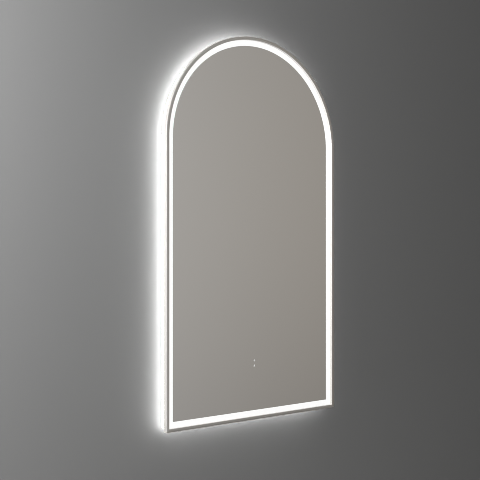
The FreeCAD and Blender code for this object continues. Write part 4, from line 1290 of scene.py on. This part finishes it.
@dataclass(frozen=True)
class Studio:
    """Camera at the photograph's angle, soft light from the left, plain wall and pale floor."""

    eye: Triple = (-1.3017, -1.6797, -0.2768)
    yaw: float = math.radians(-37.30)
    lens: float = 66.77  # millimetres
    sensor: float = 36.0  # millimetres
    rise: float = -0.0006  # share of the picture's width
    nearest: float = 0.01
    farthest: float = 50.0
    wall_gap: float = 0.4 * MILLIMETRE
    wall_reach: float = 20 * MILLIMETRE  # rays that start nearer to the wall go through it
    wall_tone: Triple = (0.12, 0.12, 0.12)
    half_room: float = 3.0
    depth: float = 2.6
    ceiling: float = 2.2
    floor_height: float = -1.65
    floor_tone: Triple = (0.42, 0.415, 0.405)
    floor_roughness: float = 0.6
    highlight_limit: float = 4.0
    pixel_filter: float = 0.9  # keeps the edge of what is lit as crisp as in the photograph
    sky: SoftSky = SoftSky()
    lamps: tuple[Lamp, ...] = (
        # As in the photograph, the mirror throws no shadow.
        Lamp("key", (-1.9, -0.3, 0.35), (0.0, 0.0, -0.1), 0.5, 0.5, 200.0, shadow=False),
        Lamp("edge", (-1.8, -0.06, -0.8), (0.0, -0.06, -0.8), 0.1, 0.9, 44.0),
        Lamp("back", (-0.7, 2.3, 0.6), (0.0, 0.0, -0.25), 1.2, 1.2, 26.0),
    )

    def camera(self) -> None:
        """Adds the camera."""
        data = bpy.data.cameras.new("camera")
        data.lens, data.sensor_width, data.shift_y = self.lens, self.sensor, self.rise
        data.clip_start, data.clip_end = self.nearest, self.farthest
        camera = add_object("camera", data)
        camera.location = self.eye
        camera.rotation_euler = (math.pi / 2, 0.0, self.yaw)
        bpy.context.scene.camera = camera

    def plane(self, name: str, corners: Sequence[Triple], material: bpy.types.Material) -> bpy.types.Object:
        """Adds one flat sheet of the stage.

        Args:
            name: The sheet's name.
            corners: Its corners, in order.
            material: Its finish.

        Returns:
            The sheet.
        """
        mesh = bpy.data.meshes.new(name)
        mesh.from_pydata(corners, [], [tuple(range(len(corners)))])
        mesh.materials.append(material)
        sheet = add_object(name, mesh)
        return sheet

    def wall_material(self) -> bpy.types.Material:
        """Makes the wall's finish: matt, but clear from behind and from close by.

        Returns:
            The material, which never hides or darkens the mirror's back.
        """
        material = bpy.data.materials.new("stage_wall")
        graph = Graph.emptied(material)
        matt = graph.node("ShaderNodeBsdfDiffuse", inputs={"Color": (*self.wall_tone, 1.0)})["BSDF"]
        clear = graph.node("ShaderNodeBsdfTransparent")["BSDF"]
        behind = graph.node("ShaderNodeNewGeometry")["Backfacing"]
        ray = graph.node("ShaderNodeLightPath")
        from_near = ray["Ray Length"] < self.wall_reach
        see_through = graph.clamp(behind + ray["Is Shadow Ray"] + from_near)
        mixed = graph.node("ShaderNodeMixShader", inputs={0: see_through, 1: matt, 2: clear})["Shader"]
        graph.node("ShaderNodeOutputMaterial", inputs={"Surface": mixed})
        return material

    def floor_material(self) -> bpy.types.Material:
        """Makes the floor's finish.

        Returns:
            A plain pale material.
        """
        material = bpy.data.materials.new("stage_floor")
        material.use_nodes = True
        shader = material.node_tree.nodes["Principled BSDF"]
        shader.inputs["Base Color"].default_value = (*self.floor_tone, 1.0)
        shader.inputs["Roughness"].default_value = self.floor_roughness
        return material

    def surroundings(self) -> None:
        """Adds the wall and the floor."""
        side, gap, low, high = self.half_room, self.wall_gap, self.floor_height, self.ceiling
        self.plane("stage_wall", [(-side, gap, low), (side, gap, low), (side, gap, high), (-side, gap, high)],
                   self.wall_material())
        front, rear = -self.depth, self.depth
        floor = self.plane("stage_floor", [(-side, front, low), (side, front, low), (side, rear, low),
                                           (-side, rear, low)], self.floor_material())
        floor.visible_glossy = False

    def build(self) -> None:
        """Adds the whole stage."""
        scene = bpy.context.scene
        scene.view_settings.view_transform = "Standard"
        scene.cycles.sample_clamp_direct = self.highlight_limit
        scene.cycles.filter_width = self.pixel_filter
        self.camera()
        self.surroundings()
        self.sky.build()
        for lamp in self.lamps:
            lamp.build()


# --- CAD pieces ----------------------------------------------------------------------------------
class CadDress:
    """Gives each CAD node that is still shown its finish and smooth shading on its curves."""

    SHARP = math.radians(32)

    def __init__(self) -> None:
        """Builds the tree that welds a node's triangles and shades its curves."""
        self.tree = GeometryTree("soft_shading")
        loose = self.tree.input("Node", "Geometry")
        sharp = self.tree.input("Sharp angle", "Float")
        self.tree.output(self.tree.smoothed(self.tree.welded(loose), sharp))

    def build(self, palette: Palette) -> None:
        """Dresses every node by its slot in the record.

        Args:
            palette: The finishes.
        """
        slots = {part["node"]: part["material_slot"] for part in frame["record"]["subparts"]}
        for name, node in frame["nodes"].items():
            node.data.materials.clear()
            node.data.materials.append(palette[slots[name]])
            if not node.hide_render:
                self.tree.attach(node, {"Sharp angle": self.SHARP})
        log.info("dressed %d CAD nodes", len(frame["nodes"]))


def main() -> None:
    """Builds the mirror's looks from front to back, and then the stage."""
    logging.basicConfig(level=logging.INFO, format="%(name)s: %(message)s")
    palette = {finish.slot: finish.build() for finish in FINISHES}
    arch = Arch.from_frame()
    tree = SweepTree()
    FrameExtrusion(arch).build(tree, palette)
    LightBand(arch).build(tree, palette)
    MirrorPane().build(arch, palette)
    HaloCover(arch).build(tree, palette)
    TouchMarks().build(palette)
    heads = FastenerTree()
    for fastener in FASTENERS:
        fastener.build(heads, palette)
    CadDress().build(palette)
    Studio().build()


if __name__ == "__main__":
    main()
